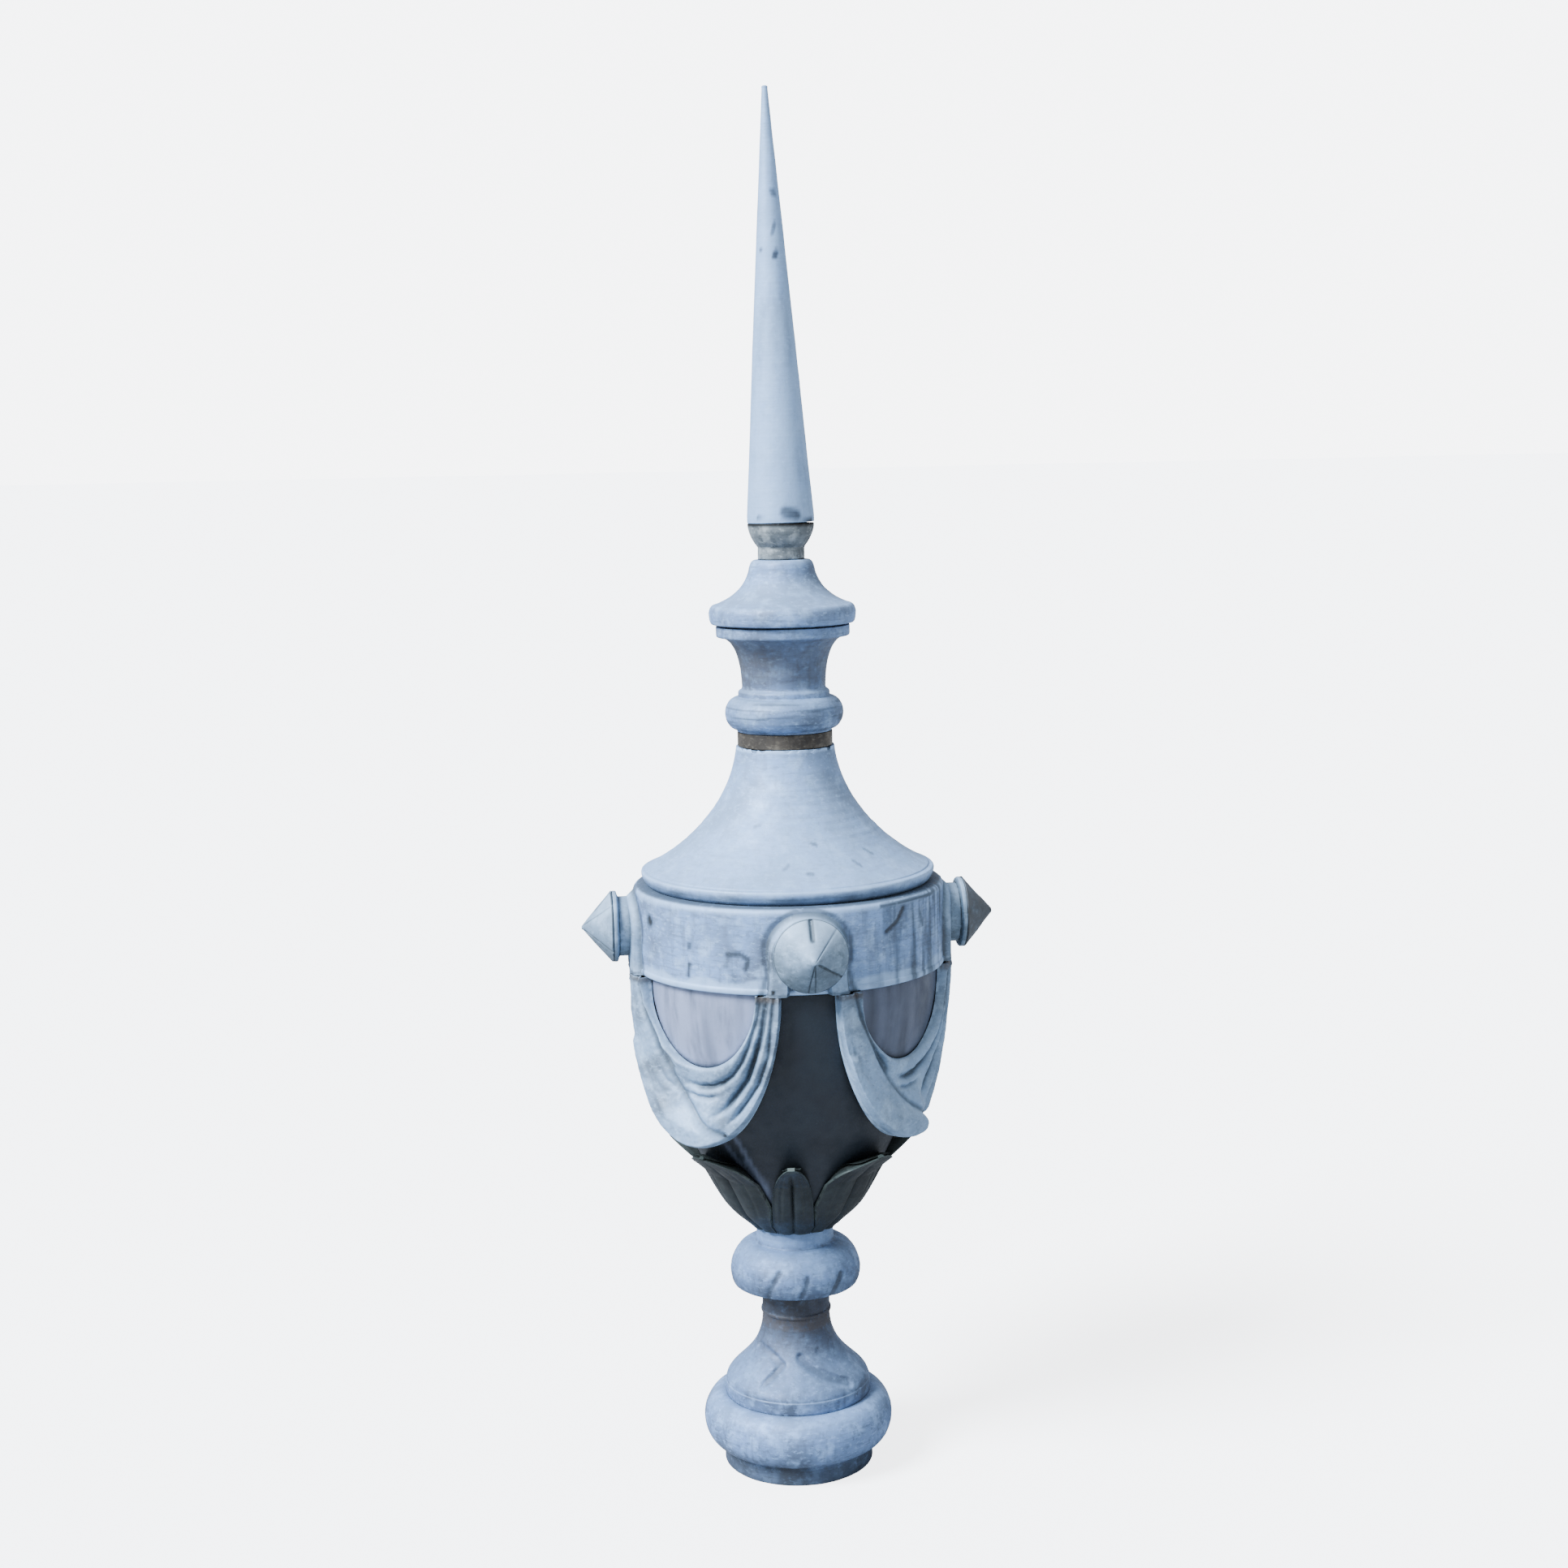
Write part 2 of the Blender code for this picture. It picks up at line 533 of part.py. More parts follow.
def make_plate_cutter():
    """A drum the size of the plates' front, which hollows the backs of the boss collars."""
    mesh = bpy.data.meshes.new("plate_cutter")
    body = bmesh.new()
    radius = HANGER_FRONT + GAP
    depth = BAND_HEIGHT + 2 * BOSS_RIM_RADIUS
    bmesh.ops.create_cone(body, cap_ends=True, segments=2 * WIDE_SEGMENTS, depth=depth, radius1=radius,
                          radius2=radius, matrix=Matrix.Translation((0.0, 0.0, BOSS_Z)))
    body.to_mesh(mesh)
    body.free()
    cutter = bpy.data.objects.new("plate_cutter", mesh)
    cutter.hide_render = True
    cutter.display_type = "WIRE"
    cutters.objects.link(cutter)
    return cutter


for old in list(bpy.data.objects):
    bpy.data.objects.remove(old)
finial = bpy.data.collections.new("zinc_finial")
cutters = bpy.data.collections.new("cutters")
for collection in (finial, cutters):
    bpy.context.scene.collection.children.link(collection)

plate_cutter = make_plate_cutter()
make_foot()
make_knop()
make_bowl()
make_leaves()
make_band()
make_bosses()
make_swags()
make_lid()
make_neck()
make_cap()
make_spire()
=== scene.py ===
"""Looks of a sheet zinc roof finial: spun mouldings, pressed leaves and swags, soldered cones and a long spire.

Everything stands in the CAD frame: metres, +Z up, origin in the middle of the underside, front boss to -Y.
"""
import math

import bpy
import numpy as np
from mathutils import Matrix, Vector, noise


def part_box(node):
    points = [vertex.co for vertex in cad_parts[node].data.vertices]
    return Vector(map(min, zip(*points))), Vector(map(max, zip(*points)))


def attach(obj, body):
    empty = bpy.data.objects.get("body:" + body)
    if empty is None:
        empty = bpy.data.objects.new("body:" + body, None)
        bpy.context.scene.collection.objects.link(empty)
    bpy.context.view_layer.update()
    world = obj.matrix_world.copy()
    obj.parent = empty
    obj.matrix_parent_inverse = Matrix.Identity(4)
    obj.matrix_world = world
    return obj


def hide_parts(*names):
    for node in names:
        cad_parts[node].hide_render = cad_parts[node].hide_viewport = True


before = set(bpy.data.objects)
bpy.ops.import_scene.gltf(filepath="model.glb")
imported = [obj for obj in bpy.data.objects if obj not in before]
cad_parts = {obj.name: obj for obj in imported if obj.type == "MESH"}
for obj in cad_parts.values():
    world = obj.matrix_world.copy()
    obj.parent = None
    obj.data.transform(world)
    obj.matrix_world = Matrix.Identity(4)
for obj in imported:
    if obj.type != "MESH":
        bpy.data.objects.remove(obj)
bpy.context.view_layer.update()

# Heights of the seats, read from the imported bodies
FOOT_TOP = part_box("foot_bell")[0].z
BELL_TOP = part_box("knop")[0].z
COLLAR_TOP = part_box("knop")[1].z
BOWL_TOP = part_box("frieze_band")[0].z
BAND_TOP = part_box("lid")[0].z
LID_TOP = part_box("neck_sleeve")[0].z
SLEEVE_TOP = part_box("neck_baluster")[0].z
NECK_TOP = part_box("cap")[0].z
CAP_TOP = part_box("spire_socket")[0].z
SOCKET_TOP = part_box("spire_socket")[1].z

# Sizes that several pieces share
BAND_RADIUS = 0.208
PLATE_FOOT = 0.2080
PLATE_FRONT = 0.2186
BOSS_RISE = 0.0564
BOSS_Z = BOWL_TOP + BOSS_RISE
BOSS_RIM = 0.0475
BOSS_FACE = 0.2371
SIDES = ("front", "right", "back", "left")
SEAM = 0.0003
FOOT_OF_LEAVES = COLLAR_TOP + 0.0145
# Middle radius of the cloth, on which its folds are measured
CLOTH_RADIUS = 0.212

# Strengths of the sky, of the lamp, of the paper's own glow, and of the sky as the camera sees it
SKY = 0.66
LAMP = 10.0
PAPER_GLOW = 4.0
BACKDROP = 7.0
SKY_WHITE = "#f4f6fa"

# The photograph's focal length and its side, in its pixels
FOCAL_PIXELS = 2790.0
PHOTO_SIDE = 1932


def curve_points(start, near, far, end, steps):
    """Points of a cubic curve after its start."""
    points = []
    for step in range(1, steps + 1):
        t = step / steps
        weights = ((1 - t) ** 3, 3 * t * (1 - t) ** 2, 3 * t * t * (1 - t), t ** 3)
        points.append(tuple(sum(w * c[k] for w, c in zip(weights, (start, near, far, end))) for k in (0, 1)))
    return points


def flare(start, end, near, far, steps):
    """A trumpet curve with its handles as shares of the run and the rise."""
    run, rise = end[0] - start[0], end[1] - start[1]
    handles = [(start[0] + share[0] * run, start[1] + share[1] * rise) for share in (near, far)]
    return curve_points(start, handles[0], handles[1], end, steps)


def half_roll(low, high, radius, steps):
    """A half-round moulding between two points, out to a radius."""
    points = []
    for step in range(1, steps + 1):
        angle = math.pi * step / steps
        share = (1 - math.cos(angle)) / 2
        inner = low[0] + share * (high[0] - low[0])
        points.append((inner + (radius - inner) * math.sin(angle), low[1] + share * (high[1] - low[1])))
    return points


def straight(start, end, steps):
    """Evenly spaced points after the start of a straight run."""
    return [tuple(start[k] + (end[k] - start[k]) * step / steps for k in (0, 1)) for step in range(1, steps + 1)]


def smooth_step(low, high, value):
    """0 below low, 1 above high, and an easy passage between."""
    share = min(1.0, max(0.0, (value - low) / (high - low)))
    return share * share * (3 - 2 * share)


def around(radius, turn, height):
    """A point at a radius and height, turned about the axis from the front."""
    return Vector((radius * math.sin(turn), -radius * math.cos(turn), height))


def turn_of(point):
    """The angle of a point from the front, in degrees."""
    return math.degrees(math.atan2(point.x, -point.y))


def finish_modifiers(piece):
    """Applies every modifier on a piece."""
    bpy.context.view_layer.objects.active = piece
    for modifier in list(piece.modifiers):
        bpy.ops.object.modifier_apply(modifier=modifier.name)


def spin_up(name, outline, segments=160, edge=0.0011):
    """A turned piece drawn up ring by ring along the outline of its outer side, with its sharp edges eased."""
    bpy.ops.object.select_all(action="DESELECT")
    radius, height = outline[0]
    bpy.ops.mesh.primitive_circle_add(vertices=segments, radius=radius, fill_type="NGON", location=(0, 0, height))
    piece = bpy.context.object
    piece.name = piece.data.name = name
    bpy.ops.object.mode_set(mode="EDIT")
    bpy.ops.mesh.select_all(action="SELECT")
    for new_radius, new_height in outline[1:]:
        bpy.ops.mesh.extrude_region_move(TRANSFORM_OT_translate={"value": (0, 0, new_height - height)})
        share = new_radius / radius
        bpy.ops.transform.resize(value=(share, share, 1), center_override=(0, 0, new_height))
        radius, height = new_radius, new_height
    bpy.ops.mesh.select_all(action="SELECT")
    bpy.ops.mesh.normals_make_consistent(inside=False)
    bpy.ops.object.mode_set(mode="OBJECT")
    bpy.ops.object.transform_apply(location=True, rotation=True, scale=True)
    if edge:
        ease = piece.modifiers.new("eased edges", "BEVEL")
        ease.width = edge
        ease.segments = 2
        ease.limit_method = "ANGLE"
        ease.angle_limit = math.radians(28)
        finish_modifiers(piece)
    return piece


def lay_sheet(name, columns, rows, place, thickness, inward=True):
    """A pressed sheet: a grid whose points are moved to place(across, along), then given its thickness."""
    bpy.ops.object.select_all(action="DESELECT")
    bpy.ops.mesh.primitive_grid_add(x_subdivisions=columns, y_subdivisions=rows, size=2)
    piece = bpy.context.object
    piece.name = piece.data.name = name
    for point in piece.data.vertices:
        point.co = place((point.co.x + 1) / 2, (point.co.y + 1) / 2)
    wall = piece.modifiers.new("wall", "SOLIDIFY")
    wall.thickness = thickness
    wall.offset = -1 if inward else 1
    finish_modifiers(piece)
    return piece


def knock(piece, seed, dents=(), ring_lines=0.0, swell=0.0007, hammer=0.0003, creases=()):
    """Sculpts a turned piece: a little out of round, hammered, ringed by the spinning tool, dented and creased."""
    shift = Vector((seed * 1.7, seed * 2.3, seed * 0.9))
    for point in piece.data.vertices:
        place = point.co
        radius = math.hypot(place.x, place.y)
        if radius < 0.002:
            continue
        move = swell * noise.noise(place * 9 + shift)
        move += hammer * noise.noise(place * 34 + shift)
        if ring_lines:
            patch = smooth_step(-0.25, 0.5, noise.noise(place * 7 - shift))
            wave = Vector((place.x * 2, place.y * 2, place.z * 260 + 60 * radius)) + shift
            move += ring_lines * patch * noise.noise(wave)
        for turn, height, size, depth in dents:
            away = math.radians((turn_of(place) - turn + 180) % 360 - 180) * radius
            near = (away ** 2 + (place.z - height) ** 2) / size ** 2
            if near < 6:
                move -= depth * math.exp(-near)
        if creases:
            move -= brush(place, creases)
        share = 1 + move / radius
        point.co = (place.x * share, place.y * share, place.z)


def hollows(piece, rounds):
    """How deep each point lies in its surroundings, in millimetres; edges and crowns are below zero."""
    mesh = piece.data
    count = len(mesh.vertices)
    places = np.empty(count * 3)
    mesh.vertices.foreach_get("co", places)
    places = places.reshape(-1, 3)
    normals = np.empty(count * 3)
    mesh.vertices.foreach_get("normal", normals)
    normals = normals.reshape(-1, 3)
    ends = np.empty(len(mesh.edges) * 2, int)
    mesh.edges.foreach_get("vertices", ends)
    first, second = ends[0::2], ends[1::2]
    degree = np.bincount(ends, minlength=count).clip(1)
    soft = places.copy()
    for _ in range(rounds):
        for axis in range(3):
            total = np.bincount(first, soft[second, axis], count) + np.bincount(second, soft[first, axis], count)
            soft[:, axis] = (soft[:, axis] + total / degree) / 2
    return ((soft - places) * normals).sum(axis=1) * 1000


def brush(place, strokes):
    """How strongly strokes of (turn, height) points, width and strength cover a place on the outside."""
    cover = 0.0
    radius = math.hypot(place.x, place.y)
    turn = turn_of(place)
    for points, width, strength in strokes:
        nearest = 1.0
        for (t0, z0), (t1, z1) in zip(points, points[1:] or points):
            x0 = math.radians((t0 - turn + 180) % 360 - 180) * radius
            x1 = x0 + math.radians(t1 - t0) * radius
            run, rise = x1 - x0, z1 - z0
            length = run * run + rise * rise
            along = 0.0 if not length else min(1.0, max(0.0, (-x0 * run + (place.z - z0) * rise) / length))
            nearest = min(nearest, math.hypot(x0 + along * run, z0 + along * rise - place.z))
        cover = max(cover, strength * (1 - smooth_step(width * 0.35, width, nearest)))
    return cover


def weather(piece, rounds=24, **layers):
    """Writes the hollow of each point, and the layers that functions of a place give, as attributes."""
    values = {"hollow": hollows(piece, rounds)}
    for name, layer in layers.items():
        values[name] = [layer(point.co) for point in piece.data.vertices]
    for name, numbers in values.items():
        written = piece.data.attributes.new(name, "FLOAT", "POINT")
        written.data.foreach_set("value", np.asarray(numbers, np.float32))


def set_down(piece, node, finish, smooth=42):
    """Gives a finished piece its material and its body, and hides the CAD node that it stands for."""
    bpy.ops.object.select_all(action="DESELECT")
    piece.select_set(True)
    bpy.context.view_layer.objects.active = piece
    bpy.ops.object.shade_smooth_by_angle(angle=math.radians(smooth))
    piece.data.materials.clear()
    piece.data.materials.append(finish)
    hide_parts(node)
    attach(piece, "root")


def hexed(code):
    """Linear colour of an sRGB hex code."""
    channels = [int(code[i:i + 2], 16) / 255 for i in (1, 3, 5)]
    return (*[c / 12.92 if c <= 0.04045 else ((c + 0.055) / 1.055) ** 2.4 for c in channels], 1.0)


def add(tree, kind, feeds=None, **settings):
    """Adds a node with its settings, and feeds its inputs with values or other nodes' sockets."""
    made = tree.nodes.new("ShaderNode" + kind)
    for key, value in settings.items():
        setattr(made, key, value)
    for key, value in (feeds or {}).items():
        if isinstance(value, bpy.types.NodeSocket):
            tree.links.new(value, made.inputs[key])
        else:
            made.inputs[key].default_value = value
    return made


def zinc(name, pale, deep, bloom, grime, brown="#4a4037", roughness=0.6, metal=0.2, mottle=0.5, streaks=0.4,
         spun=0.3, dirt_and_shade=0.6):
    """Zinc left in the weather: a matt, chalky skin over grey metal, cloudy, streaked, with soot and painted shade in
    its hollows and painted shade beneath.
    """
    material = bpy.data.materials.new(name)
    material.use_nodes = True
    tree = material.node_tree
    shader = tree.nodes["Principled BSDF"]
    object_place = add(tree, "TexCoord").outputs["Object"]
    facing = add(tree, "SeparateXYZ", {0: add(tree, "TexCoord").outputs["Normal"]}).outputs["Z"]

    def cloud(size_mm, detail=3.0, rough=0.5, stretch=(1, 1, 1), shift=0.0):
        """Noise whose patches are about size_mm across, stretched by shares of that."""
        scale = 1000 / size_mm
        settled = add(tree, "Mapping", {"Vector": object_place, "Location": (shift, shift, shift),
                                        "Scale": tuple(scale * s for s in stretch)})
        found = add(tree, "TexNoise", {"Vector": settled.outputs[0], "Scale": 1.0, "Detail": detail,
                                       "Roughness": rough})
        return found.outputs["Fac"]

    def between(value, low, high, strength=1.0):
        """The value from low to high as 0 to strength."""
        return add(tree, "MapRange", {"Value": value, "From Min": low, "From Max": high, "To Min": 0.0,
                                      "To Max": strength}, interpolation_type="SMOOTHSTEP").outputs[0]

    def both(first, second, operation="MULTIPLY"):
        return add(tree, "Math", {0: first, 1: second}, operation=operation, use_clamp=True).outputs[0]

    def layer(under, over, share):
        return add(tree, "Mix", {0: share, 6: under, 7: over}, data_type="RGBA").outputs[2]

    def written(attribute):
        return add(tree, "Attribute", attribute_name=attribute).outputs["Fac"]

    # Broad clouds of 90 mm, chalky mottling of 22 mm, and the fine lines that the spinning tool left, 4 mm apart
    colour = layer(hexed(deep), hexed(pale), between(cloud(90), 0.30, 0.60))
    colour = layer(colour, hexed(bloom), between(cloud(22, 4.0, shift=3.0), 0.48, 0.72, mottle))
    colour = layer(colour, hexed(deep), between(cloud(30, 4.0, 0.6, (1, 1, 8), 5.0), 0.48, 0.66, spun))
    colour = layer(colour, hexed(grime), between(cloud(26, 4.0, 0.6, (1, 1, 14), 15.0), 0.56, 0.74, spun * 0.6))
    # Small patches of 8 mm, darker and paler, where the skin has worn unevenly
    colour = layer(colour, hexed(deep), between(cloud(8, 4.0, 0.65, shift=11.0), 0.50, 0.68, mottle * 0.7))
    colour = layer(colour, hexed(bloom), between(cloud(9, 4.0, 0.65, (1, 1, 2.2), 13.0), 0.52, 0.70, mottle * 0.8))
    # Rain draws streaks 9 mm wide and ten times as long
    colour = layer(colour, hexed(deep), between(cloud(9, 3.0, 0.5, (1, 1, 0.1), 1.0), 0.52, 0.74, streaks))
    # What faces up is paler
    colour = layer(colour, hexed(bloom), between(facing, 0.10, 0.90, 0.40))
    streaky = between(cloud(16, 3.0, 0.5, (1, 1, 0.22), 2.0), -0.1, 0.62)
    colour = layer(colour, hexed(bloom), both(written("bloom"), streaky))
    # Painted shade: what faces down is darker, in patches
    under = both(between(facing, -0.15, -0.9, 0.5), between(cloud(20, shift=9.0), 0.2, 0.6))
    broken = between(cloud(12, 5.0, 0.6, shift=4.0), 0.18, 0.55)
    # Soot and painted shade in the hollows and where other pieces close in, and each piece's own dark layer, which
    # holds both
    open_sky = add(tree, "AmbientOcclusion", {"Distance": 0.030}, samples=6).outputs["AO"]
    soot_and_shade = both(both(between(written("hollow"), 0.25, 2.4, dirt_and_shade), broken), under, "MAXIMUM")
    occluded_soot_and_shade = both(between(open_sky, 0.72, 0.25, dirt_and_shade), between(cloud(18, 4.0, shift=7.0), 0.0, 0.45))
    soot_and_shade = both(soot_and_shade, occluded_soot_and_shade, "MAXIMUM")
    soot_and_shade = both(soot_and_shade, both(written("grime"), between(cloud(9, 4.0, shift=4.0), 0.05, 0.45)), "MAXIMUM")
    colour = layer(colour, hexed(grime), soot_and_shade)
    colour = layer(colour, hexed(brown), both(written("stain"), between(cloud(10, shift=6.0), 0.15, 0.5)))
    worn = both(between(written("hollow"), -1.6, -4.0, 0.6), between(cloud(12, shift=8.0), 0.35, 0.6))
    colour = layer(colour, hexed(bloom), worn)
    tree.links.new(colour, shader.inputs["Base Color"])
    shader.inputs["Metallic"].default_value = metal
    gloss = add(tree, "MapRange", {"Value": cloud(16, shift=3.0), "From Min": 0.3, "From Max": 0.7,
                                   "To Min": roughness - 0.08, "To Max": roughness + 0.12})
    tree.links.new(gloss.outputs[0], shader.inputs["Roughness"])
    # Relief: dimples of 14 mm, pitting of 3 mm and tool rings 4 mm apart
    relief = add(tree, "Math", {0: cloud(14, 2.0), 1: 1.6}, operation="MULTIPLY").outputs[0]
    relief = add(tree, "Math", {0: cloud(3, 3.0), 1: 0.4, 2: relief}, operation="MULTIPLY_ADD").outputs[0]
    relief = add(tree, "Math", {0: cloud(60, 3.0, 0.5, (0.4, 0.4, 15)), 1: 1.5 * spun, 2: relief},
                 operation="MULTIPLY_ADD").outputs[0]
    bump = add(tree, "Bump", {"Height": relief, "Strength": 0.5, "Distance": 0.0006})
    tree.links.new(bump.outputs[0], shader.inputs["Normal"])
    return material


# Finishes, named for the real ones
pale_zinc = zinc("weathered_spun_zinc", "#84a8dc", "#606f88", "#a8cdf8", "#2b3138", mottle=0.65, dirt_and_shade=0.8, spun=0.4)
foot_zinc = zinc("weathered_foot_zinc", "#7292c4", "#4d5a70", "#96bcf0", "#24292f", mottle=0.8, dirt_and_shade=0.95)
swag_zinc = zinc("weathered_pressed_zinc", "#8fb0d4", "#5f6d7e", "#b2d2f2", "#1a1e22", mottle=0.5, streaks=0.15,
                 spun=0.0, dirt_and_shade=0.95)
boss_zinc = zinc("soldered_cone_zinc", "#829db8", "#58646c", "#aac8e6", "#1e2220", mottle=0.6, streaks=0.1, spun=0.0,
                 dirt_and_shade=0.9)
bowl_zinc = zinc("dark_bowl_zinc", "#1b2530", "#151c26", "#98a5c6", "#0a0d11", mottle=0.0, streaks=0.1, spun=0.1,
                 roughness=0.52)
leaf_zinc = zinc("dark_leaf_zinc", "#222c31", "#151c1f", "#55625f", "#070a0b", mottle=0.1, streaks=0.3, spun=0.0)
stained_zinc = zinc("stained_sleeve_zinc", "#4c463e", "#2e2a26", "#8a8274", "#141210", streaks=0.4, spun=0.3)
socket_zinc = zinc("lichened_socket_zinc", "#8c969c", "#4c5358", "#bcc6ca", "#0e1012", mottle=0.8, dirt_and_shade=0.95)


def bowl_outline(steps=60):
    """The egg outline of the bowl, bottom to top."""
    start, end = (0.0465, COLLAR_TOP + SEAM), (0.200, BOWL_TOP - SEAM)
    return [start] + flare(start, end, (0.36, 0.118), (1.04, 0.645), steps)


BOWL_LINE = bowl_outline()


def bowl_radius(height):
    """The bowl's radius at a height, drawn in at its foot."""
    plain = float(np.interp(height, [z for _, z in BOWL_LINE], [r for r, _ in BOWL_LINE]))
    return plain - 0.0085 * (1 - smooth_step(FOOT_OF_LEAVES, FOOT_OF_LEAVES + 0.035, height))


def make_foot():
    """The spun foot: fillet and roll, then the trumpet with its ridge of solder at the neck."""
    low, high = (0.104, 0.028), (0.104, FOOT_TOP - SEAM)
    line = [(0.1019, 0.0), (0.1027, 0.0012)] + straight((0.1027, 0.0012), (0.1027, 0.0262), 10) + [low]
    line += half_roll(low, high, 0.130, 40)
    base = spin_up("foot_roll_spun", line, segments=240)
    knock(base, 1, [(-40, 0.062, 0.016, 0.0014), (28, 0.05, 0.02, 0.0012), (-12, 0.075, 0.014, 0.0011),
                    (8, 0.052, 0.010, 0.0010), (-62, 0.048, 0.014, 0.0012)], ring_lines=0.0005, hammer=0.0005)
    weather(base, grime=lambda p: 0.75 * (1 - smooth_step(0.020, 0.047, p.z + 0.012 * noise.noise(p * 30))))
    set_down(base, "foot_base", foot_zinc)

    step_top = FOOT_TOP + 0.0172
    start, neck = (0.0988, step_top), (0.0466, step_top + 0.096)
    line = [(0.100, FOOT_TOP)] + straight((0.100, FOOT_TOP), (0.100, step_top - 0.0012), 6) + [start]
    line += flare(start, neck, (0.0, 0.22), (1.0, 0.36), 60)
    ridge = (0.0466, neck[1] + 0.006)
    line += half_roll(neck, ridge, 0.0486, 8) + straight(ridge, (0.0466, BELL_TOP - SEAM), 16)
    bell = spin_up("foot_trumpet_spun", line, segments=240, edge=0.0009)
    folds = [([(-38, 0.133), (-31, 0.144), (-25, 0.154)], 0.0075, 0.0036),
             ([(-71, 0.169), (-50, 0.166), (-36, 0.161), (-25, 0.154)], 0.0075, 0.0030),
             ([(-2, 0.163), (8, 0.153), (18, 0.144), (30, 0.136), (42, 0.128)], 0.0080, 0.0038),
             ([(24, 0.168), (34, 0.158), (44, 0.147)], 0.006, 0.0012)]
    knock(bell, 2, [(-26, 0.134, 0.012, 0.0012), (14, 0.146, 0.014, -0.0010), (-4, 0.150, 0.012, -0.0012),
                    (48, 0.150, 0.012, 0.0014)], ring_lines=0.0003, creases=folds)
    marks = [(line, width, 0.6) for line, width, _ in folds[:3]]
    marks.append(([(20, 0.140), (30, 0.136)], 0.007, 0.45))
    # The bell darkens towards its neck under the knop: soot and painted shade
    weather(bell, grime=lambda p: max(brush(p, marks), 0.32 + 0.55 * smooth_step(0.135, 0.215, p.z)),
            stain=lambda p: max(0.22 * smooth_step(0.14, 0.18, p.z),
                                0.5 * smooth_step(0.19, 0.20, p.z) * (1 - smooth_step(0.214, 0.222, p.z))))
    set_down(bell, "foot_bell", foot_zinc)


def make_knop():
    """The half-round knop and the plain collar above it."""
    rise = 0.058
    rim, shoulder = (0.0855, BELL_TOP + 0.0008), (0.060, BELL_TOP + rise)
    line = [(0.0848, BELL_TOP), rim]
    line += curve_points(rim, (0.0945, BELL_TOP + 0.28 * rise), (0.088, BELL_TOP + 0.9 * rise), shoulder, 34)
    line += [(0.0545, shoulder[1] + 0.0005), (0.0532, shoulder[1] + 0.003)]
    line += straight(line[-1], (0.0525, FOOT_OF_LEAVES), 12)
    piece = spin_up("knop_spun", line, segments=220)
    folds = [([(-22, 0.292), (-26, 0.280), (-30, 0.268), (-32, 0.258)], 0.006, 0.0016),
             ([(4, 0.286), (2, 0.272), (-2, 0.259)], 0.006, 0.0012),
             ([(38, 0.283), (31, 0.268), (28, 0.258)], 0.008, 0.0014)]
    knock(piece, 3, [(10, 0.295, 0.012, 0.0010), (-50, 0.275, 0.012, 0.0010)], ring_lines=0.0006,
          creases=folds)
    marks = [(line, width, 0.8) for line, width, _ in folds]
    weather(piece, grime=lambda p: max(brush(p, marks), 0.24 + 0.3 * (1 - smooth_step(0.262, 0.285, p.z)),
                                       0.35 * smooth_step(FOOT_OF_LEAVES - 0.004, FOOT_OF_LEAVES, p.z)),
            bloom=lambda p: 0.6 * smooth_step(0.316, 0.320, p.z))
    set_down(piece, "knop", foot_zinc)


def make_bowl():
    """The dark egg-shaped bowl, chalky only inside the loops of the swags."""
    heights = np.linspace(FOOT_OF_LEAVES + SEAM, BOWL_TOP - SEAM, 85)
    line = [(0.0455, heights[0])] + [(bowl_radius(z), float(z)) for z in heights]
    piece = spin_up("bowl_spun", line, segments=200)
    knock(piece, 4, [(-10, 0.52, 0.05, 0.0015), (30, 0.56, 0.04, 0.001)])

    # The loops of the swags: their top, how far they hang, and how far they reach to either side, in degrees
    top, drop, reach = 0.7054, 0.104, 27

    def loops(place):
        turn = abs((turn_of(place) % 90) - 45)
        edge = top - drop * math.sqrt(max(0.0, 1 - (turn / reach) ** 2)) if turn < reach else 1.0
        # Painted shade: the chalk in the loops to the right of the front is darkened, away from the lamp
        shade = 0.3 + 0.7 * smooth_step(25, -10, turn_of(place)) if abs(turn_of(place)) < 90 else 0.75
        fall = noise.noise(Vector((turn_of(place) * 0.22, place.z * 7, 1)))
        return smooth_step(edge - 0.004, edge + 0.006, place.z) * min(1.0, shade * (0.92 + 0.5 * fall))

    drips = [([(-36, 0.500), (-31, 0.460), (-25, 0.415)], 0.005, 0.28),
             ([(-44, 0.49), (-38, 0.455), (-30, 0.43)], 0.006, 0.20),
             ([(-33, 0.46), (-26, 0.430), (-24, 0.40)], 0.009, 0.18)]
    weather(piece, bloom=lambda p: max(loops(p), brush(p, drips)))
    set_down(piece, "bowl", bowl_zinc)


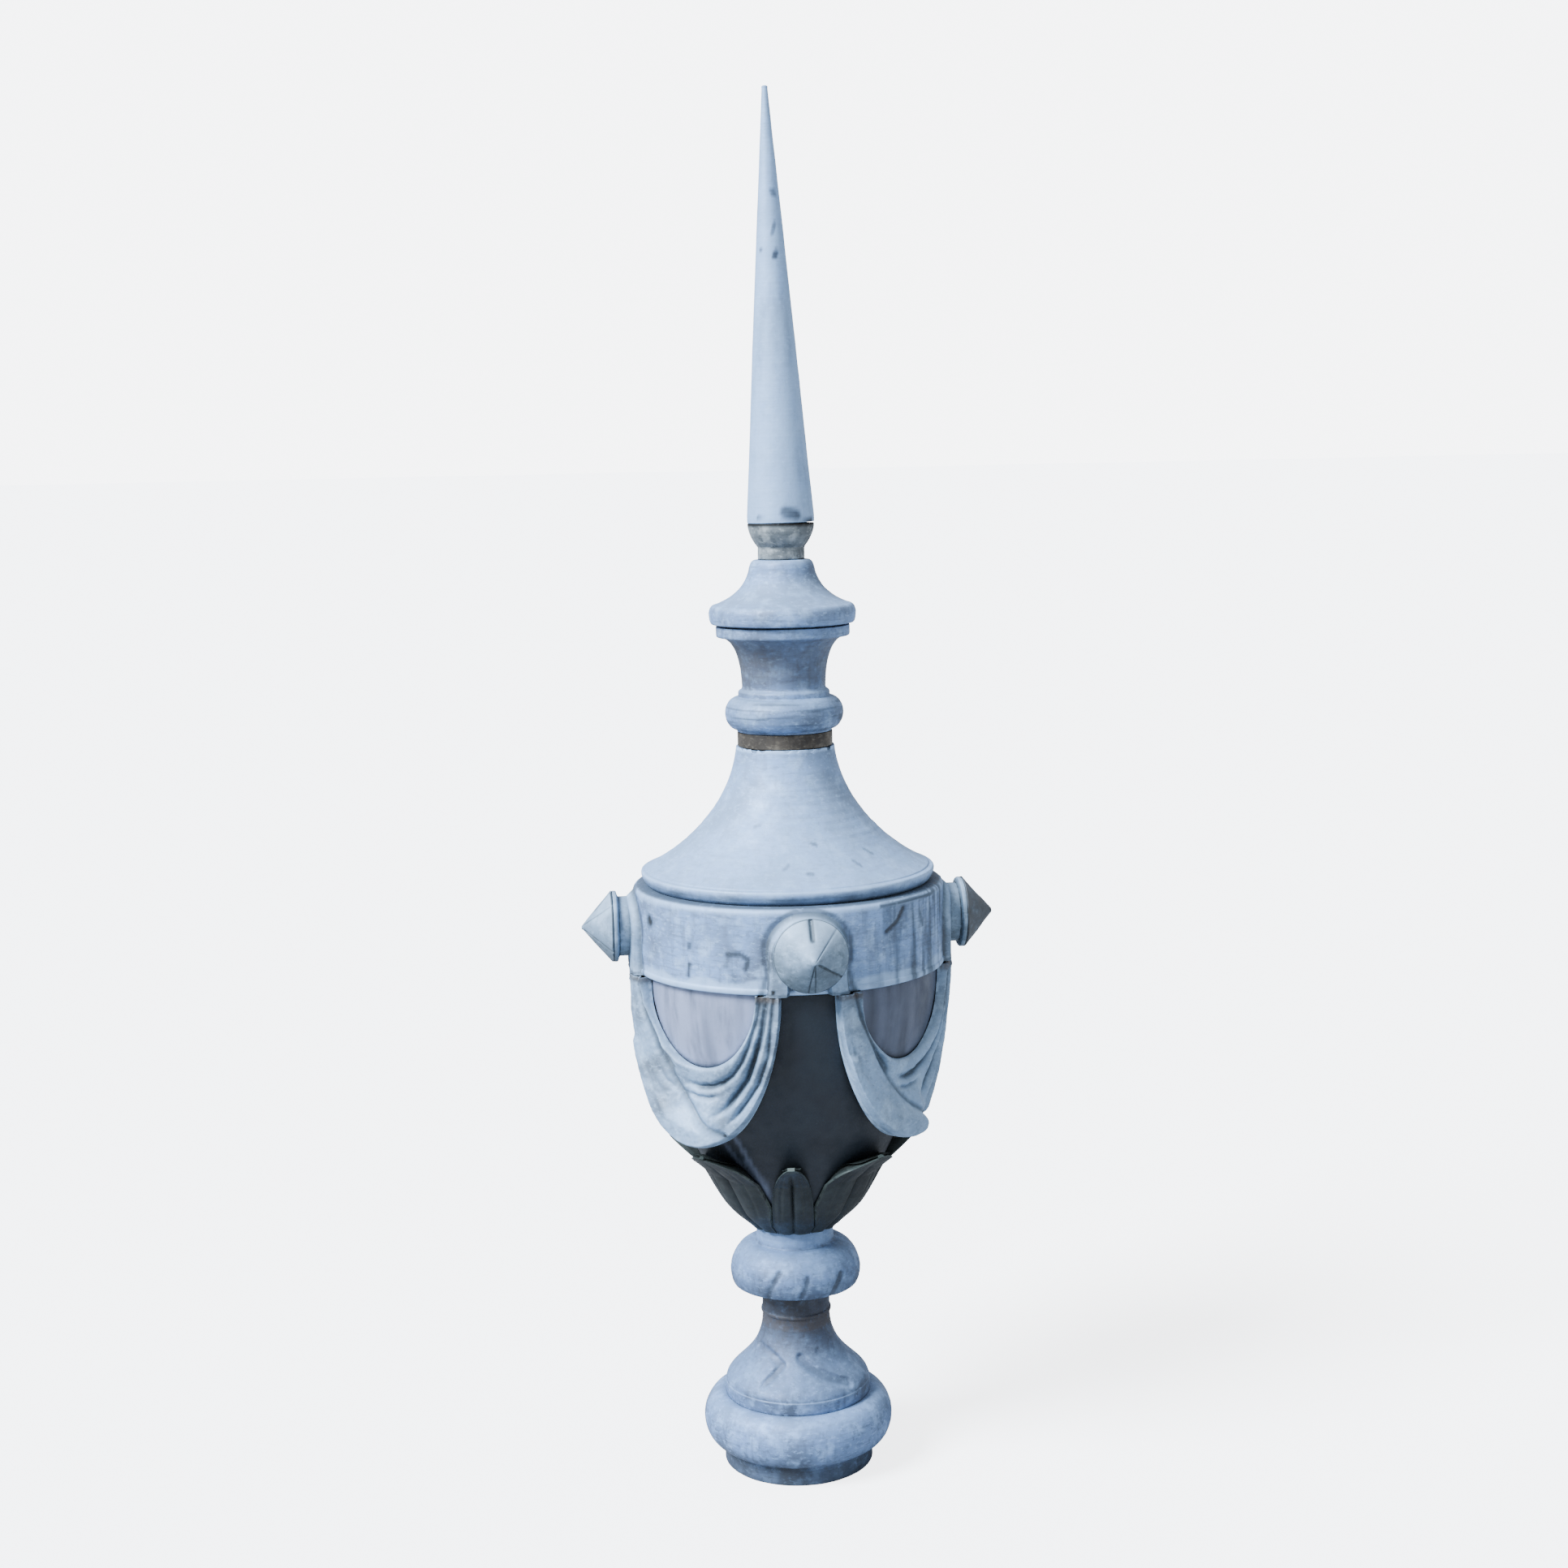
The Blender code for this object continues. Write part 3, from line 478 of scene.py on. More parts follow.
def make_band():
    """The plain rolled band with its lower lip and shoulder."""
    low = (BAND_RADIUS, BOWL_TOP)
    shoulder = (BAND_RADIUS, BAND_TOP - 0.008)
    lip_top, lip_radius = (BAND_RADIUS, BOWL_TOP + 0.008), 0.2098
    line = [(0.2068, BOWL_TOP), low] + half_roll(low, lip_top, lip_radius, 8)
    line += straight(line[-1], shoulder, 40)
    line += flare(shoulder, (BAND_RADIUS - 0.0095, BAND_TOP - SEAM), (0.0, 0.5), (0.4, 1.0), 8)
    piece = spin_up("band_rolled", line, segments=360)
    scratch = [(38.6, 0.8035), (37, 0.796), (35.5, 0.788), (32.5, 0.781), (30.5, 0.777)]
    knock(piece, 5, [(34, 0.765, 0.012, 0.0010)], hammer=0.0005,
          creases=[([(-67.0, 0.784)], 0.010, 0.0014), (scratch, 0.006, 0.0010)])
    # Soot and a painted shadow outline each plate
    plate_soot_and_shadow = []
    for side in (0, 90, 180, 270):
        arch = [(side + math.degrees(0.0578 * math.sin(a) / BAND_RADIUS), BOSS_Z + 0.0522 * math.cos(a))
                for a in np.radians(np.linspace(-118, 118, 15))]
        reach = math.degrees(0.060 / BAND_RADIUS)
        plate_soot_and_shadow.append(([(side - reach, BOWL_TOP)] + arch + [(side + reach, BOWL_TOP)], 0.006, 0.7))
    marks = [(scratch, 0.0055, 0.9), ([(-67.0, 0.784)], 0.0125, 1.0), ([(-44.6, 0.739), (-45.2, 0.724)], 0.0045, 0.9),
             ([(-44.4, 0.7655), (-44.6, 0.760)], 0.0045, 0.75),
             ([(-28.5, 0.757), (-24, 0.758), (-21, 0.751), (-22, 0.740)], 0.0055, 0.85),
             ([(-28.5, 0.757), (-29.5, 0.741)], 0.0045, 0.5), ([(-27, 0.735), (-26, 0.722)], 0.005, 0.35),
             ([(28, 0.811), (44, 0.812), (58, 0.810)], 0.0035, 0.8), ([(48, 0.795), (50, 0.775)], 0.005, 0.7),
             ([(57, 0.79), (57, 0.765)], 0.006, 0.6)]

    # Dirt streaks, kept to the right side away from the lamp, where they also stand in for shade
    def streaks(place):
        turn = turn_of(place)
        side = smooth_step(16, 40, turn) * (1 - smooth_step(80, 100, turn))
        fall = noise.noise(Vector((turn * 0.42, place.z * 9, 2.0)))
        fall += 0.35 * noise.noise(Vector((turn * 1.3, place.z * 14, 5)))
        return side * 0.72 * smooth_step(-0.2, 0.4, fall)

    def lip(place):
        edge = 0.7215 + 0.010 * noise.noise(Vector((turn_of(place) * 0.09, 3, 1))) + 0.004 * noise.noise(place * 60)
        return 0.9 * (1 - smooth_step(edge - 0.003, edge + 0.003, place.z)) + 0.5 * smooth_step(0.806, 0.809, place.z)

    # A painted shadow, with soot, darkens the top of the band under the lid's bead
    weather(piece, grime=lambda p: max(brush(p, marks), brush(p, plate_soot_and_shadow), streaks(p),
                                       0.8 * smooth_step(BAND_TOP - 0.003, BAND_TOP - 0.0008, p.z)), bloom=lip)
    set_down(piece, "frieze_band", pale_zinc)


def make_lid():
    """The spun trumpet lid: a beaded rim with a groove above it, tool rings and a ragged top edge."""
    # Radius of the rim, and height above the band: it leans out to a crest and rolls over into a shallow groove
    rim = ((0.1890, 0.0), (0.1912, 0.0022), (0.1932, 0.0052), (0.1950, 0.0088), (0.1962, 0.0122), (0.1967, 0.0148),
           (0.1964, 0.0168), (0.1952, 0.0182), (0.1930, 0.0189), (0.1908, 0.0190), (0.1897, 0.0196), (0.1890, 0.0208))
    line = [(radius, BAND_TOP + rise) for radius, rise in rim]
    line += flare(line[-1], (0.0655, LID_TOP - SEAM), (0.40, 0.142), (0.948, 0.537), 80)
    piece = spin_up("lid_spun", line, segments=300, edge=0.0007)
    knock(piece, 6, [(-12, 0.855, 0.03, 0.0012), (20, 0.90, 0.02, 0.0009), (-35, 0.88, 0.018, 0.0009)],
          ring_lines=0.0008)
    for point in piece.data.vertices:
        if point.co.z > LID_TOP - 0.004:
            turn = turn_of(point.co)
            point.co.z -= 0.0045 * smooth_step(-0.05, 0.30, noise.noise(Vector((turn * 0.10, 4, 0))))
    flecks = [([(8, 0.885), (11, 0.883)], 0.003, 0.6), ([(-30, 0.905), (-26, 0.906)], 0.003, 0.4),
              ([(28, 0.862), (30, 0.856)], 0.003, 0.5), ([(2, 0.853), (5, 0.852)], 0.003, 0.5),
              ([(40, 0.872), (43, 0.866)], 0.003, 0.5), ([(-6, 0.862), (-8, 0.858)], 0.003, 0.4)]

    # Painted shade on the lower face of the bead, in patches, and a painted shadow line where the bead sits on the
    # band
    def rim_shadow_and_soot(place):
        patch = noise.noise(Vector((turn_of(place) * 0.08, place.z * 90, 9)))
        bead_shade = 0.32 + 0.35 * smooth_step(-0.2, 0.5, patch)
        bead_shade *= 1 - smooth_step(BAND_TOP + 0.009, BAND_TOP + 0.014, place.z)
        return max(0.95 * (1 - smooth_step(BAND_TOP + 0.001, BAND_TOP + 0.004, place.z)), bead_shade)

    # A painted highlight runs along the crest of the bead, 16.5 mm above the band
    weather(piece, grime=lambda p: max(brush(p, flecks), rim_shadow_and_soot(p)),
            bloom=lambda p: max(0.95 * smooth_step(LID_TOP - 0.006, LID_TOP - 0.003, p.z), 0.25,
                                0.9 * math.exp(-((p.z - BAND_TOP - 0.0165) / 0.0022) ** 2)))
    set_down(piece, "lid", pale_zinc)


def make_neck():
    """The stained sleeve, and the turned baluster above it."""
    line = [(0.0635, LID_TOP)] + straight((0.0635, LID_TOP), (0.0635, SLEEVE_TOP - SEAM), 10)
    sleeve = spin_up("sleeve_stained", line)
    knock(sleeve, 7)
    weather(sleeve)
    set_down(sleeve, "neck_sleeve", stained_zinc)

    low, high = (0.0635, SLEEVE_TOP), (0.061, SLEEVE_TOP + 0.046)
    step, waist = (0.061, high[1] + 0.006), (0.0556, high[1] + 0.012)
    opening = (0.0827, step[1] + 0.0735)
    line = [low, (0.0635, low[1] + 0.003)] + half_roll((0.0635, low[1] + 0.003), high, 0.0789, 30)
    line += straight(high, step, 3)
    line += curve_points(step, (0.061, step[1] + 0.003), (0.0562, step[1] + 0.003), waist, 5)
    line += flare(waist, opening, (0.02, 0.52), (0.28, 0.93), 34)
    line += [(0.0880, opening[1] + 0.0004)] + straight((0.0887, opening[1] + 0.0012), (0.0887, NECK_TOP - SEAM), 6)
    piece = spin_up("baluster_spun", line)
    knock(piece, 8, [(-4, 1.035, 0.012, 0.001)], ring_lines=0.0006)

    def rings(place):
        line = noise.noise(Vector((turn_of(place) * 0.02, place.z * 260, 4)))
        return 0.6 * smooth_step(0.0, 0.4, line) * (1 - smooth_step(1.060, 1.068, place.z))

    def shade(place):
        return smooth_step(1.066, 1.09, place.z) * (1 - smooth_step(1.143, 1.148, place.z))

    weather(piece, grime=lambda p: max(rings(p), 0.18, 0.5 * shade(p)), stain=lambda p: 0.42 * shade(p))
    set_down(piece, "neck_baluster", pale_zinc)


def make_cap():
    """The mushroom cap above its shadow groove."""
    groove = NECK_TOP + 0.0025
    low, high = (0.0937, groove), (0.0897, groove + 0.0255)
    brow = (0.044, high[1] + 0.045)
    line = [(0.083, NECK_TOP), (0.083, groove), low] + half_roll(low, high, 0.0977, 16)
    line += flare(high, brow, (0.48, 0.18), (0.88, 0.47), 26)
    line += flare(brow, (0.035, CAP_TOP - SEAM), (0.12, 0.55), (0.45, 1.0), 10)
    piece = spin_up("cap_spun", line)
    knock(piece, 9, [(-30, 1.2, 0.02, 0.001)], ring_lines=0.0004)
    weather(piece)
    set_down(piece, "cap", pale_zinc)


def make_spire():
    """The cracked bulb socket, and the long cone that leans on it."""
    collar, bulb = (0.031, CAP_TOP + 0.016), (0.0445, SOCKET_TOP)
    line = [(0.031, CAP_TOP)] + straight((0.031, CAP_TOP), collar, 6)
    line += flare(collar, bulb, (0.55, 0.30), (0.97, 0.66), 18)
    socket = spin_up("socket_soldered", line)
    knock(socket, 10, hammer=0.0007)
    weather(socket, grime=lambda p: smooth_step(SOCKET_TOP - 0.006, SOCKET_TOP - 0.001, p.z))
    set_down(socket, "spire_socket", socket_zinc)

    length, foot = 0.5565, 0.0442
    tip = (0.0040, length - 0.004)
    line = [(0.0436, 0.0), (foot, 0.001), (foot, 0.0085)]
    line += straight(line[-1], tip, 110) + half_roll(tip, (0.0005, length), 0.0042, 6)
    cone = spin_up("spire_rolled", line, segments=96, edge=0.0006)
    knock(cone, 11, [(0, 0.33, 0.02, 0.001), (-8, 0.38, 0.015, 0.001)], swell=0.0005, hammer=0.0002)
    lean = math.radians(1.0)
    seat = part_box("spire_cone")[0].z + math.sin(lean) * foot
    cone.data.transform(Matrix.Translation((0, 0, seat)) @ Matrix.Rotation(-lean, 4, "Y"))
    spots = [([(-18, 1.717), (-10, 1.713)], 0.005, 0.5), ([(-8, 1.676), (-18, 1.664)], 0.0035, 0.5),
             ([(-4, 1.640), (-10, 1.634)], 0.005, 0.8), ([(-58, 1.642)], 0.004, 0.6),
             ([(2, 1.308), (20, 1.304)], 0.011, 0.75), ([(-50, 1.300), (-18, 1.298)], 0.003, 0.9),
             ([(22, 1.299), (60, 1.297)], 0.0035, 0.9)]
    weather(cone, bloom=lambda p: 0.8 * (1 - brush(p, spots)), grime=lambda p: brush(p, spots))
    set_down(cone, "spire_cone", pale_zinc)


def leaf_place(across, along, wide):
    """A point of a leaf that is centred on the front: across from side to side, along from its foot to its tip."""
    share = along * (1.5 - 0.5 * along)
    height = FOOT_OF_LEAVES + 0.0008 + (COLLAR_TOP + 0.1398 - FOOT_OF_LEAVES) * share
    curl = 0.025 * max(0.0, (share - 0.70) / 0.30) ** 1.1
    radius = bowl_radius(height) + 0.0050 - 0.0012 * smooth_step(0.3, 0.6, share) + curl
    pitch = radius * math.tau / 8
    rounding = max(0.0, (share - 0.35) / 0.66)
    half = narrow = min(0.0285 * math.sqrt(1 - rounding ** 2.1), pitch / 2 - SEAM)
    if wide:
        blunt = min(1.0, max(0.0, (share - 0.35) / 0.64))
        half = min(0.053 * math.sqrt(1 - blunt ** 7), pitch - narrow - 2 * SEAM)
    side = 2 * across - 1
    fade = 1 - smooth_step(0.75, 1.0, share)
    # Two flutes rise either side of the midrib's groove, and the rim turns up into a lip
    flutes = 0.0034 * math.sin(math.pi * abs(side) ** 0.8) * fade
    vein = -0.0030 * math.exp(-(side * half / 0.0024) ** 2) * fade
    rib = -0.0016 * math.exp(-((abs(side) - 0.55) * half / 0.0022) ** 2) * fade * smooth_step(0.15, 0.4, share)
    lip = 0.0016 * smooth_step(0.86, 0.97, max(abs(side), share)) - 0.003 * smooth_step(0.985, 1.0, abs(side))
    return around(radius + flutes + vein + rib + lip, side * half / radius, height)


def copy_of(pattern, name):
    """A copy of a pattern, with a shape of its own."""
    piece = pattern.copy()
    piece.data = pattern.data.copy()
    piece.name = piece.data.name = name
    bpy.context.scene.collection.objects.link(piece)
    return piece


def clear_away(pattern):
    """Removes a pattern and its shape once its copies are made."""
    shape = pattern.data
    bpy.data.objects.remove(pattern)
    bpy.data.meshes.remove(shape)


def make_leaves():
    """Eight pressed leaves around the bottom of the bowl, with a vein, flutes and curled tips."""
    columns, rows = 44, 76
    for wide in (False, True):
        pattern = lay_sheet("leaf_pattern", columns, rows, lambda across, along: leaf_place(across, along, wide),
                            0.0046)
        # Lead fills the back of each leaf up to its curl; the points of the back follow those of the front
        for point in pattern.data.vertices[(columns + 1) * (rows + 1):]:
            place = point.co
            radius = math.hypot(place.x, place.y)
            filled = 1 - smooth_step(0.454, 0.463, place.z)
            share = 1 - (1 - (bowl_radius(place.z) + 0.0005) / radius) * filled
            if share < 1:
                point.co = (place.x * share, place.y * share, place.z)
        top = max(p.co.z for p in pattern.data.vertices)
        # Painted highlight: the top of each leaf, at its curled tip, is paler
        weather(pattern, bloom=lambda p: 0.75 * smooth_step(top - 0.012, top - 0.002,
                                                            p.z + 0.004 * noise.noise(p * 50)))
        for count in range(int(wide), 8, 2):
            piece = copy_of(pattern, "leaf_pressed_%d" % (count + 1))
            for point in piece.data.vertices:
                bent = noise.noise(point.co * 22 + Vector((count * 3, 0, 0)))
                point.co *= 1 + 0.008 * bent * (point.co.z - COLLAR_TOP) / 0.14
            piece.data.transform(Matrix.Rotation(math.radians(-7.7 + 45 * count), 4, "Z"))
            set_down(piece, "leaf_%d" % (count + 1), leaf_zinc)
        clear_away(pattern)


def make_plates():
    """Four horseshoe plates with sloping outer edges, from whose legs the swags hang."""
    # Half width and height of the crown, and the outer and inner side of a leg
    crown_wide, crown_high, leg_out, leg_in = 0.0565, 0.0508, 0.059, 0.026
    # Heights of the nail hole and of the soldered seams
    hole_z, seam_z = 0.7125, 0.7075
    for count, side in enumerate(SIDES):
        middle = math.tau * count / 4

        def place(across, along, middle=middle):
            angle = math.radians(-125 + 250 * along)
            sine, cosine = math.sin(angle), math.cos(angle)
            crown = Vector((crown_wide * sine, crown_high * cosine))
            notch = Vector((leg_in * sine, leg_in * cosine - leg_in))
            leg = max(0.0, (abs(2 * along - 1) - 0.84) / 0.16)
            foot = math.copysign(1.0, sine)
            crown = crown.lerp(Vector((leg_out * foot, -BOSS_RISE)), leg)
            notch = notch.lerp(Vector((leg_in * foot, -BOSS_RISE)), leg)
            spot = crown.lerp(notch, across)
            rise = smooth_step(0.0, 0.28, across) * (1 - 0.9 * smooth_step(0.88, 1.0, across))
            solder = max(0.0, noise.noise(Vector((spot.x * 160, spot.y * 160, count))))
            lump = 0.0008 * solder * smooth_step(0.4, 1.0, leg)
            radius = PLATE_FOOT + (PLATE_FRONT - PLATE_FOOT) * rise + lump
            return around(radius, middle + spot.x / PLATE_FRONT, BOSS_Z + spot.y)

        piece = lay_sheet("plate_cut_" + side, 34, 130, place, 0.0005)
        turn = 90 * count
        hole = [([(turn - 12.2, hole_z)], 0.0045, 1.0)]
        seam = [([(turn + start, seam_z), (turn + end, seam_z)], 0.003, 0.6)
                for start, end in ((-15.5, -7), (7, 15.5))]
        # Painted shade darkens the foot of each plate's sloping edge
        weather(piece, grime=lambda p: max(brush(p, hole), brush(p, seam), 0.6 * (1 - smooth_step(
            PLATE_FOOT + 0.001, PLATE_FOOT + 0.0070, math.hypot(p.x, p.y)))))
        set_down(piece, "swag_hanger_" + side, swag_zinc)


def make_bosses():
    """Four bosses: a stepped collar, and a cone folded from sheet with its seams soldered."""
    for count, side in enumerate(SIDES):
        out = Matrix.Rotation(math.tau * count / 4, 4, "Z") @ Matrix.Translation((0, 0, BOSS_Z))
        out = out @ Matrix.Rotation(math.pi / 2, 4, "X")
        base = PLATE_FRONT - 0.005
        line = [(0.040, base), (0.040, 0.2290), (0.0436, 0.2305), (0.0470, 0.2315), (BOSS_RIM, 0.2330)]
        line += [(BOSS_RIM, BOSS_FACE - SEAM)]
        collar = spin_up("collar_pressed_" + side, line, segments=96, edge=0.0007)
        knock(collar, 20 + count, swell=0.0006, hammer=0.0005)
        collar.data.transform(out)
        weather(collar)
        set_down(collar, "boss_collar_" + side, boss_zinc)

        line = [(0.0465, BOSS_FACE), (BOSS_RIM, BOSS_FACE + 0.0008), (BOSS_RIM, BOSS_FACE + 0.002)]
        line += straight(line[-1], (0.002, BOSS_FACE + 0.0415), 44)
        cone = spin_up("cone_soldered_" + side, line, segments=200, edge=0.0006)
        # Seams of the folded sheet: (turn clockwise from the top, depth, width, share of the radius where it starts)
        seams = ((0, 0.0040, 0.0030, 0.42), (44, 0.0010, 0.0009, 0.0), (126, 0.0030, 0.0016, 0.05),
                 (174, 0.0024, 0.0011, 0.0), (186, 0.0024, 0.0011, 0.05))

        def seam_depths(place):
            """The depths of the seams at a place on the cone, and its turn and share of the radius."""
            radius = max(0.002, math.hypot(place.x, place.y))
            angle = math.degrees(math.atan2(place.x, place.y)) % 360
            share = radius / BOSS_RIM
            cuts = [depth * math.exp(-(math.radians((angle - turn + 180) % 360 - 180) * radius / width) ** 2)
                    * smooth_step(start, start + 0.12, share) for turn, depth, width, start in seams]
            return cuts, angle, share

        def cone_soot_and_shade(place):
            cuts, angle, share = seam_depths(place)
            sector = smooth_step(124, 130, angle) * (1 - smooth_step(170, 175, angle))
            # Painted shade: the lower half of each cone is darker, and the right boss is darker all over, partly
            # lichen and partly painted shade
            low = smooth_step(-0.2, 0.8, -place.y / BOSS_RIM + 0.5 * noise.noise(place * 70))
            return max(min(0.75, sum(cuts) / 0.0022), 0.5 * sector, 0.55 * low,
                       0.8 * smooth_step(0.975, 0.995, share), 0.7 if side == "right" else 0.0)

        for point in cone.data.vertices:
            cuts, angle, share = seam_depths(point.co)
            if point.co.z > BOSS_FACE + 0.001 and share > 0.06:
                flat = 0.0016 * smooth_step(126, 140, angle) * (1 - smooth_step(160, 174, angle)) * share
                point.co.z += 0.0009 * noise.noise(point.co * 45 + Vector((count, 0, 0))) - sum(cuts) - flat
        # A painted highlight makes the upper half of each cone paler
        weather(cone, grime=cone_soot_and_shade, stain=lambda p: 0.4 if side == "right" else 0.0,
                bloom=lambda p: 0.7 * smooth_step(0.2, 0.9, p.y / BOSS_RIM + 0.4 * noise.noise(p * 60)))
        cone.data.transform(out)
        set_down(cone, "boss_cap_" + side, boss_zinc)


# Grooves of a swag: points of (degrees from its middle, height), depth, width, and whether it dies out at each end
GROOVES = (
    (((-29.2, 0.712), (-26.4, 0.672), (-22.8, 0.645), (-18.6, 0.616), (-13.5, 0.596), (-8.5, 0.588)),
     0.0070, 0.0050, 0, 1),
    (((-14, 0.586), (-6, 0.576), (0, 0.573), (6, 0.576), (11, 0.583), (16, 0.595), (20.8, 0.617), (23.6, 0.639),
      (26.9, 0.674), (29.0, 0.712)), 0.0085, 0.0046, 1, 0),
    (((-9, 0.566), (-1, 0.560), (5, 0.561), (11, 0.568)), 0.0048, 0.0036, 1, 1),
    (((3.5, 0.531), (11.8, 0.548), (17.7, 0.572), (22.1, 0.592), (25.5, 0.622), (28.7, 0.659), (31.2, 0.712)),
     0.0095, 0.0050, 1, 0),
    (((10, 0.521), (16.2, 0.539), (21.8, 0.564), (26.4, 0.588), (30.4, 0.626), (33.2, 0.712)), 0.0060, 0.0036, 1, 0),
    (((-21, 0.628), (-17.5, 0.606), (-12, 0.580), (-6, 0.556), (0, 0.537), (6, 0.523), (12, 0.513)),
     0.0055, 0.0055, 1, 0),
    (((-33, 0.712), (-30.3, 0.642), (-26.4, 0.601), (-21.1, 0.569), (-14.7, 0.532), (-7, 0.512)),
     0.0022, 0.0060, 0, 1),
    (((-21, 0.600), (-15, 0.576), (-9, 0.562)), 0.0026, 0.0040, 1, 1),
)
# The edge of the cloth that comes down from the left arm and lies over the rest
OVERLAP = GROOVES[5][0]
# The narrow ridge down the inside of the left arm, and the crests between the grooves of the right arm
RIDGES = (
    (((-27.6, 0.712), (-24.6, 0.672), (-21, 0.646), (-15.5, 0.618), (-9, 0.602), (-2, 0.594)), 0.0040, 0.0042),
    (((5, 0.566), (13, 0.579), (18.6, 0.600), (22.6, 0.622), (25.6, 0.652), (29.6, 0.712)), 0.0030, 0.0050),
    (((9, 0.533), (16, 0.552), (21.2, 0.574), (25.4, 0.600), (28.8, 0.640), (32.0, 0.712)), 0.0028, 0.0045),
)


def nearest(turn, height, points):
    """Distance from a point to a line of (turn, height) points, and the share along it."""
    best = (1.0, 0.0)
    for index, ((t0, z0), (t1, z1)) in enumerate(zip(points, points[1:])):
        x0, x1 = (math.radians(t - turn) * CLOTH_RADIUS for t in (t0, t1))
        run, rise = x1 - x0, z1 - z0
        share = min(1.0, max(0.0, (-x0 * run + (height - z0) * rise) / (run * run + rise * rise)))
        gap = math.hypot(x0 + share * run, z0 + share * rise - height)
        if gap < best[0]:
            best = (gap, (index + share) / (len(points) - 1))
    return best


def fold_relief(turn, height):
    """How far the grooves and ridges move a point of the cloth, in metres outwards."""
    move = 0.0
    for points, depth, width, fades_in, fades_out in GROOVES:
        gap, along = nearest(turn, height, points)
        if gap < 3 * width:
            cut = depth * math.exp(-(gap / width) ** 1.7)
            cut *= smooth_step(0.0, 0.3, along) if fades_in else 1.0
            cut *= 1 - smooth_step(0.7, 1.0, along) if fades_out else 1.0
            move -= cut
    for points, lift, width in RIDGES:
        gap, along = nearest(turn, height, points)
        if gap < 3 * width:
            on_left = points[0][0] < 0
            fade = 1 - smooth_step(0.75, 1.0, along) if on_left else smooth_step(0.0, 0.25, along)
            move += lift * math.exp(-(gap / width) ** 2) * fade
    return move


def overlap_edge(turn):
    """The height of the overlapping edge at a turn."""
    points = sorted(OVERLAP)
    return float(np.interp(turn, [t for t, _ in points], [z for _, z in points]))


def swag_place(across, along):
    """A point of the front of a swag: across from its inner to its outer edge, along from arm to arm."""
    angle = math.pi * (along - 0.5)
    sine = math.sin(angle)
    # The inner edge reaches 26 degrees to either side and hangs 107 mm, the outer one 35 degrees and 213 mm
    spread = 26.0 + 9.2 * across
    drop = 0.107 + 0.106 * across
    height = BOWL_TOP - SEAM - drop * max(0.0, math.cos(angle))
    turn = spread * sine
    left = 0.210 + (PLATE_FRONT + 0.003 - 0.210) * sine ** 2
    right = 0.1985 + (PLATE_FRONT - 0.1985) * sine ** 4
    hem = left + (right - left) * smooth_step(6, 22, math.degrees(angle))
    wall = bowl_radius(height) + 0.0012
    inner = wall + 0.0075 + (PLATE_FRONT - 0.002 - wall - 0.0075) * sine ** 2
    radius = inner + (hem - inner) * smooth_step(0.0, 0.8, across)
    # The cloth that comes down from the left arm lies over the rest and stands out at its corner
    fold = 0.5 + 0.5 * math.tanh((nearest(turn, height, OVERLAP)[0] - 0.003) / 0.003)
    below = smooth_step(0.0, 0.012, overlap_edge(turn) - height)
    radius += 0.0045 * fold * below * smooth_step(0.55, 0.75, across)
    radius += fold_relief(turn, height) * (1 - 0.35 * abs(sine) ** 12)
    radius += 0.0009 * noise.noise(Vector((turn * 0.16, height * 45, 3)))
    radius += 0.0005 * noise.noise(Vector((turn, height * 200, 5)))
    # A lump of solder where each arm hangs from its plate
    top = smooth_step(BOWL_TOP - 0.013, BOWL_TOP - 0.005, height)
    radius += top * (0.0012 + 0.0020 * noise.noise(Vector((turn * 0.9, height * 230, 8))))
    radius = max(radius, wall + 0.003)
    # Both edges turn back to the bowl at the arms, and the hem is rolled under
    side = sine ** 6
    near_edge = min(1.0, across / 0.09)
    far_edge = min(1.0, (1 - across) / 0.08)
    radius -= (radius - wall) * (1 - math.sqrt(max(0.0, 1 - (1 - near_edge) ** 2)))
    under = 0.014 + max(0.0, radius - wall - 0.014) * (0.5 + 0.5 * side)
    radius -= under * (1 - math.sqrt(max(0.0, 1 - (1 - far_edge) ** 2)))
    return around(radius, math.radians(turn), height)


def make_swags():
    """Four swags of cloth pressed from sheet, alike but for their knocks, between the bosses."""
    pattern = lay_sheet("swag_pattern", 110, 200, swag_place, 0.0030)

    # Dirt and painted shade darken the grooves of the cloth
    def settled(place):
        return 0.75 * smooth_step(0.0015, 0.0070, -fold_relief(turn_of(place), place.z))

    weather(pattern, grime=settled, stain=lambda p: 0.7 * smooth_step(BOWL_TOP - 0.012, BOWL_TOP - 0.004, p.z))
    for count in range(4):
        piece = copy_of(pattern, "swag_pressed_%d" % (count + 1))
        for point in piece.data.vertices:
            bent = noise.noise(point.co * 16 + Vector((count * 5, 1, 2)))
            share = 1 + 0.0022 * bent * smooth_step(0.0, 0.05, BOWL_TOP - point.co.z) / 0.2
            point.co *= Vector((share, share, 1))
        piece.data.transform(Matrix.Rotation(math.radians(45 + 90 * count), 4, "Z"))
        set_down(piece, "swag_%d" % (count + 1), swag_zinc)
    clear_away(pattern)


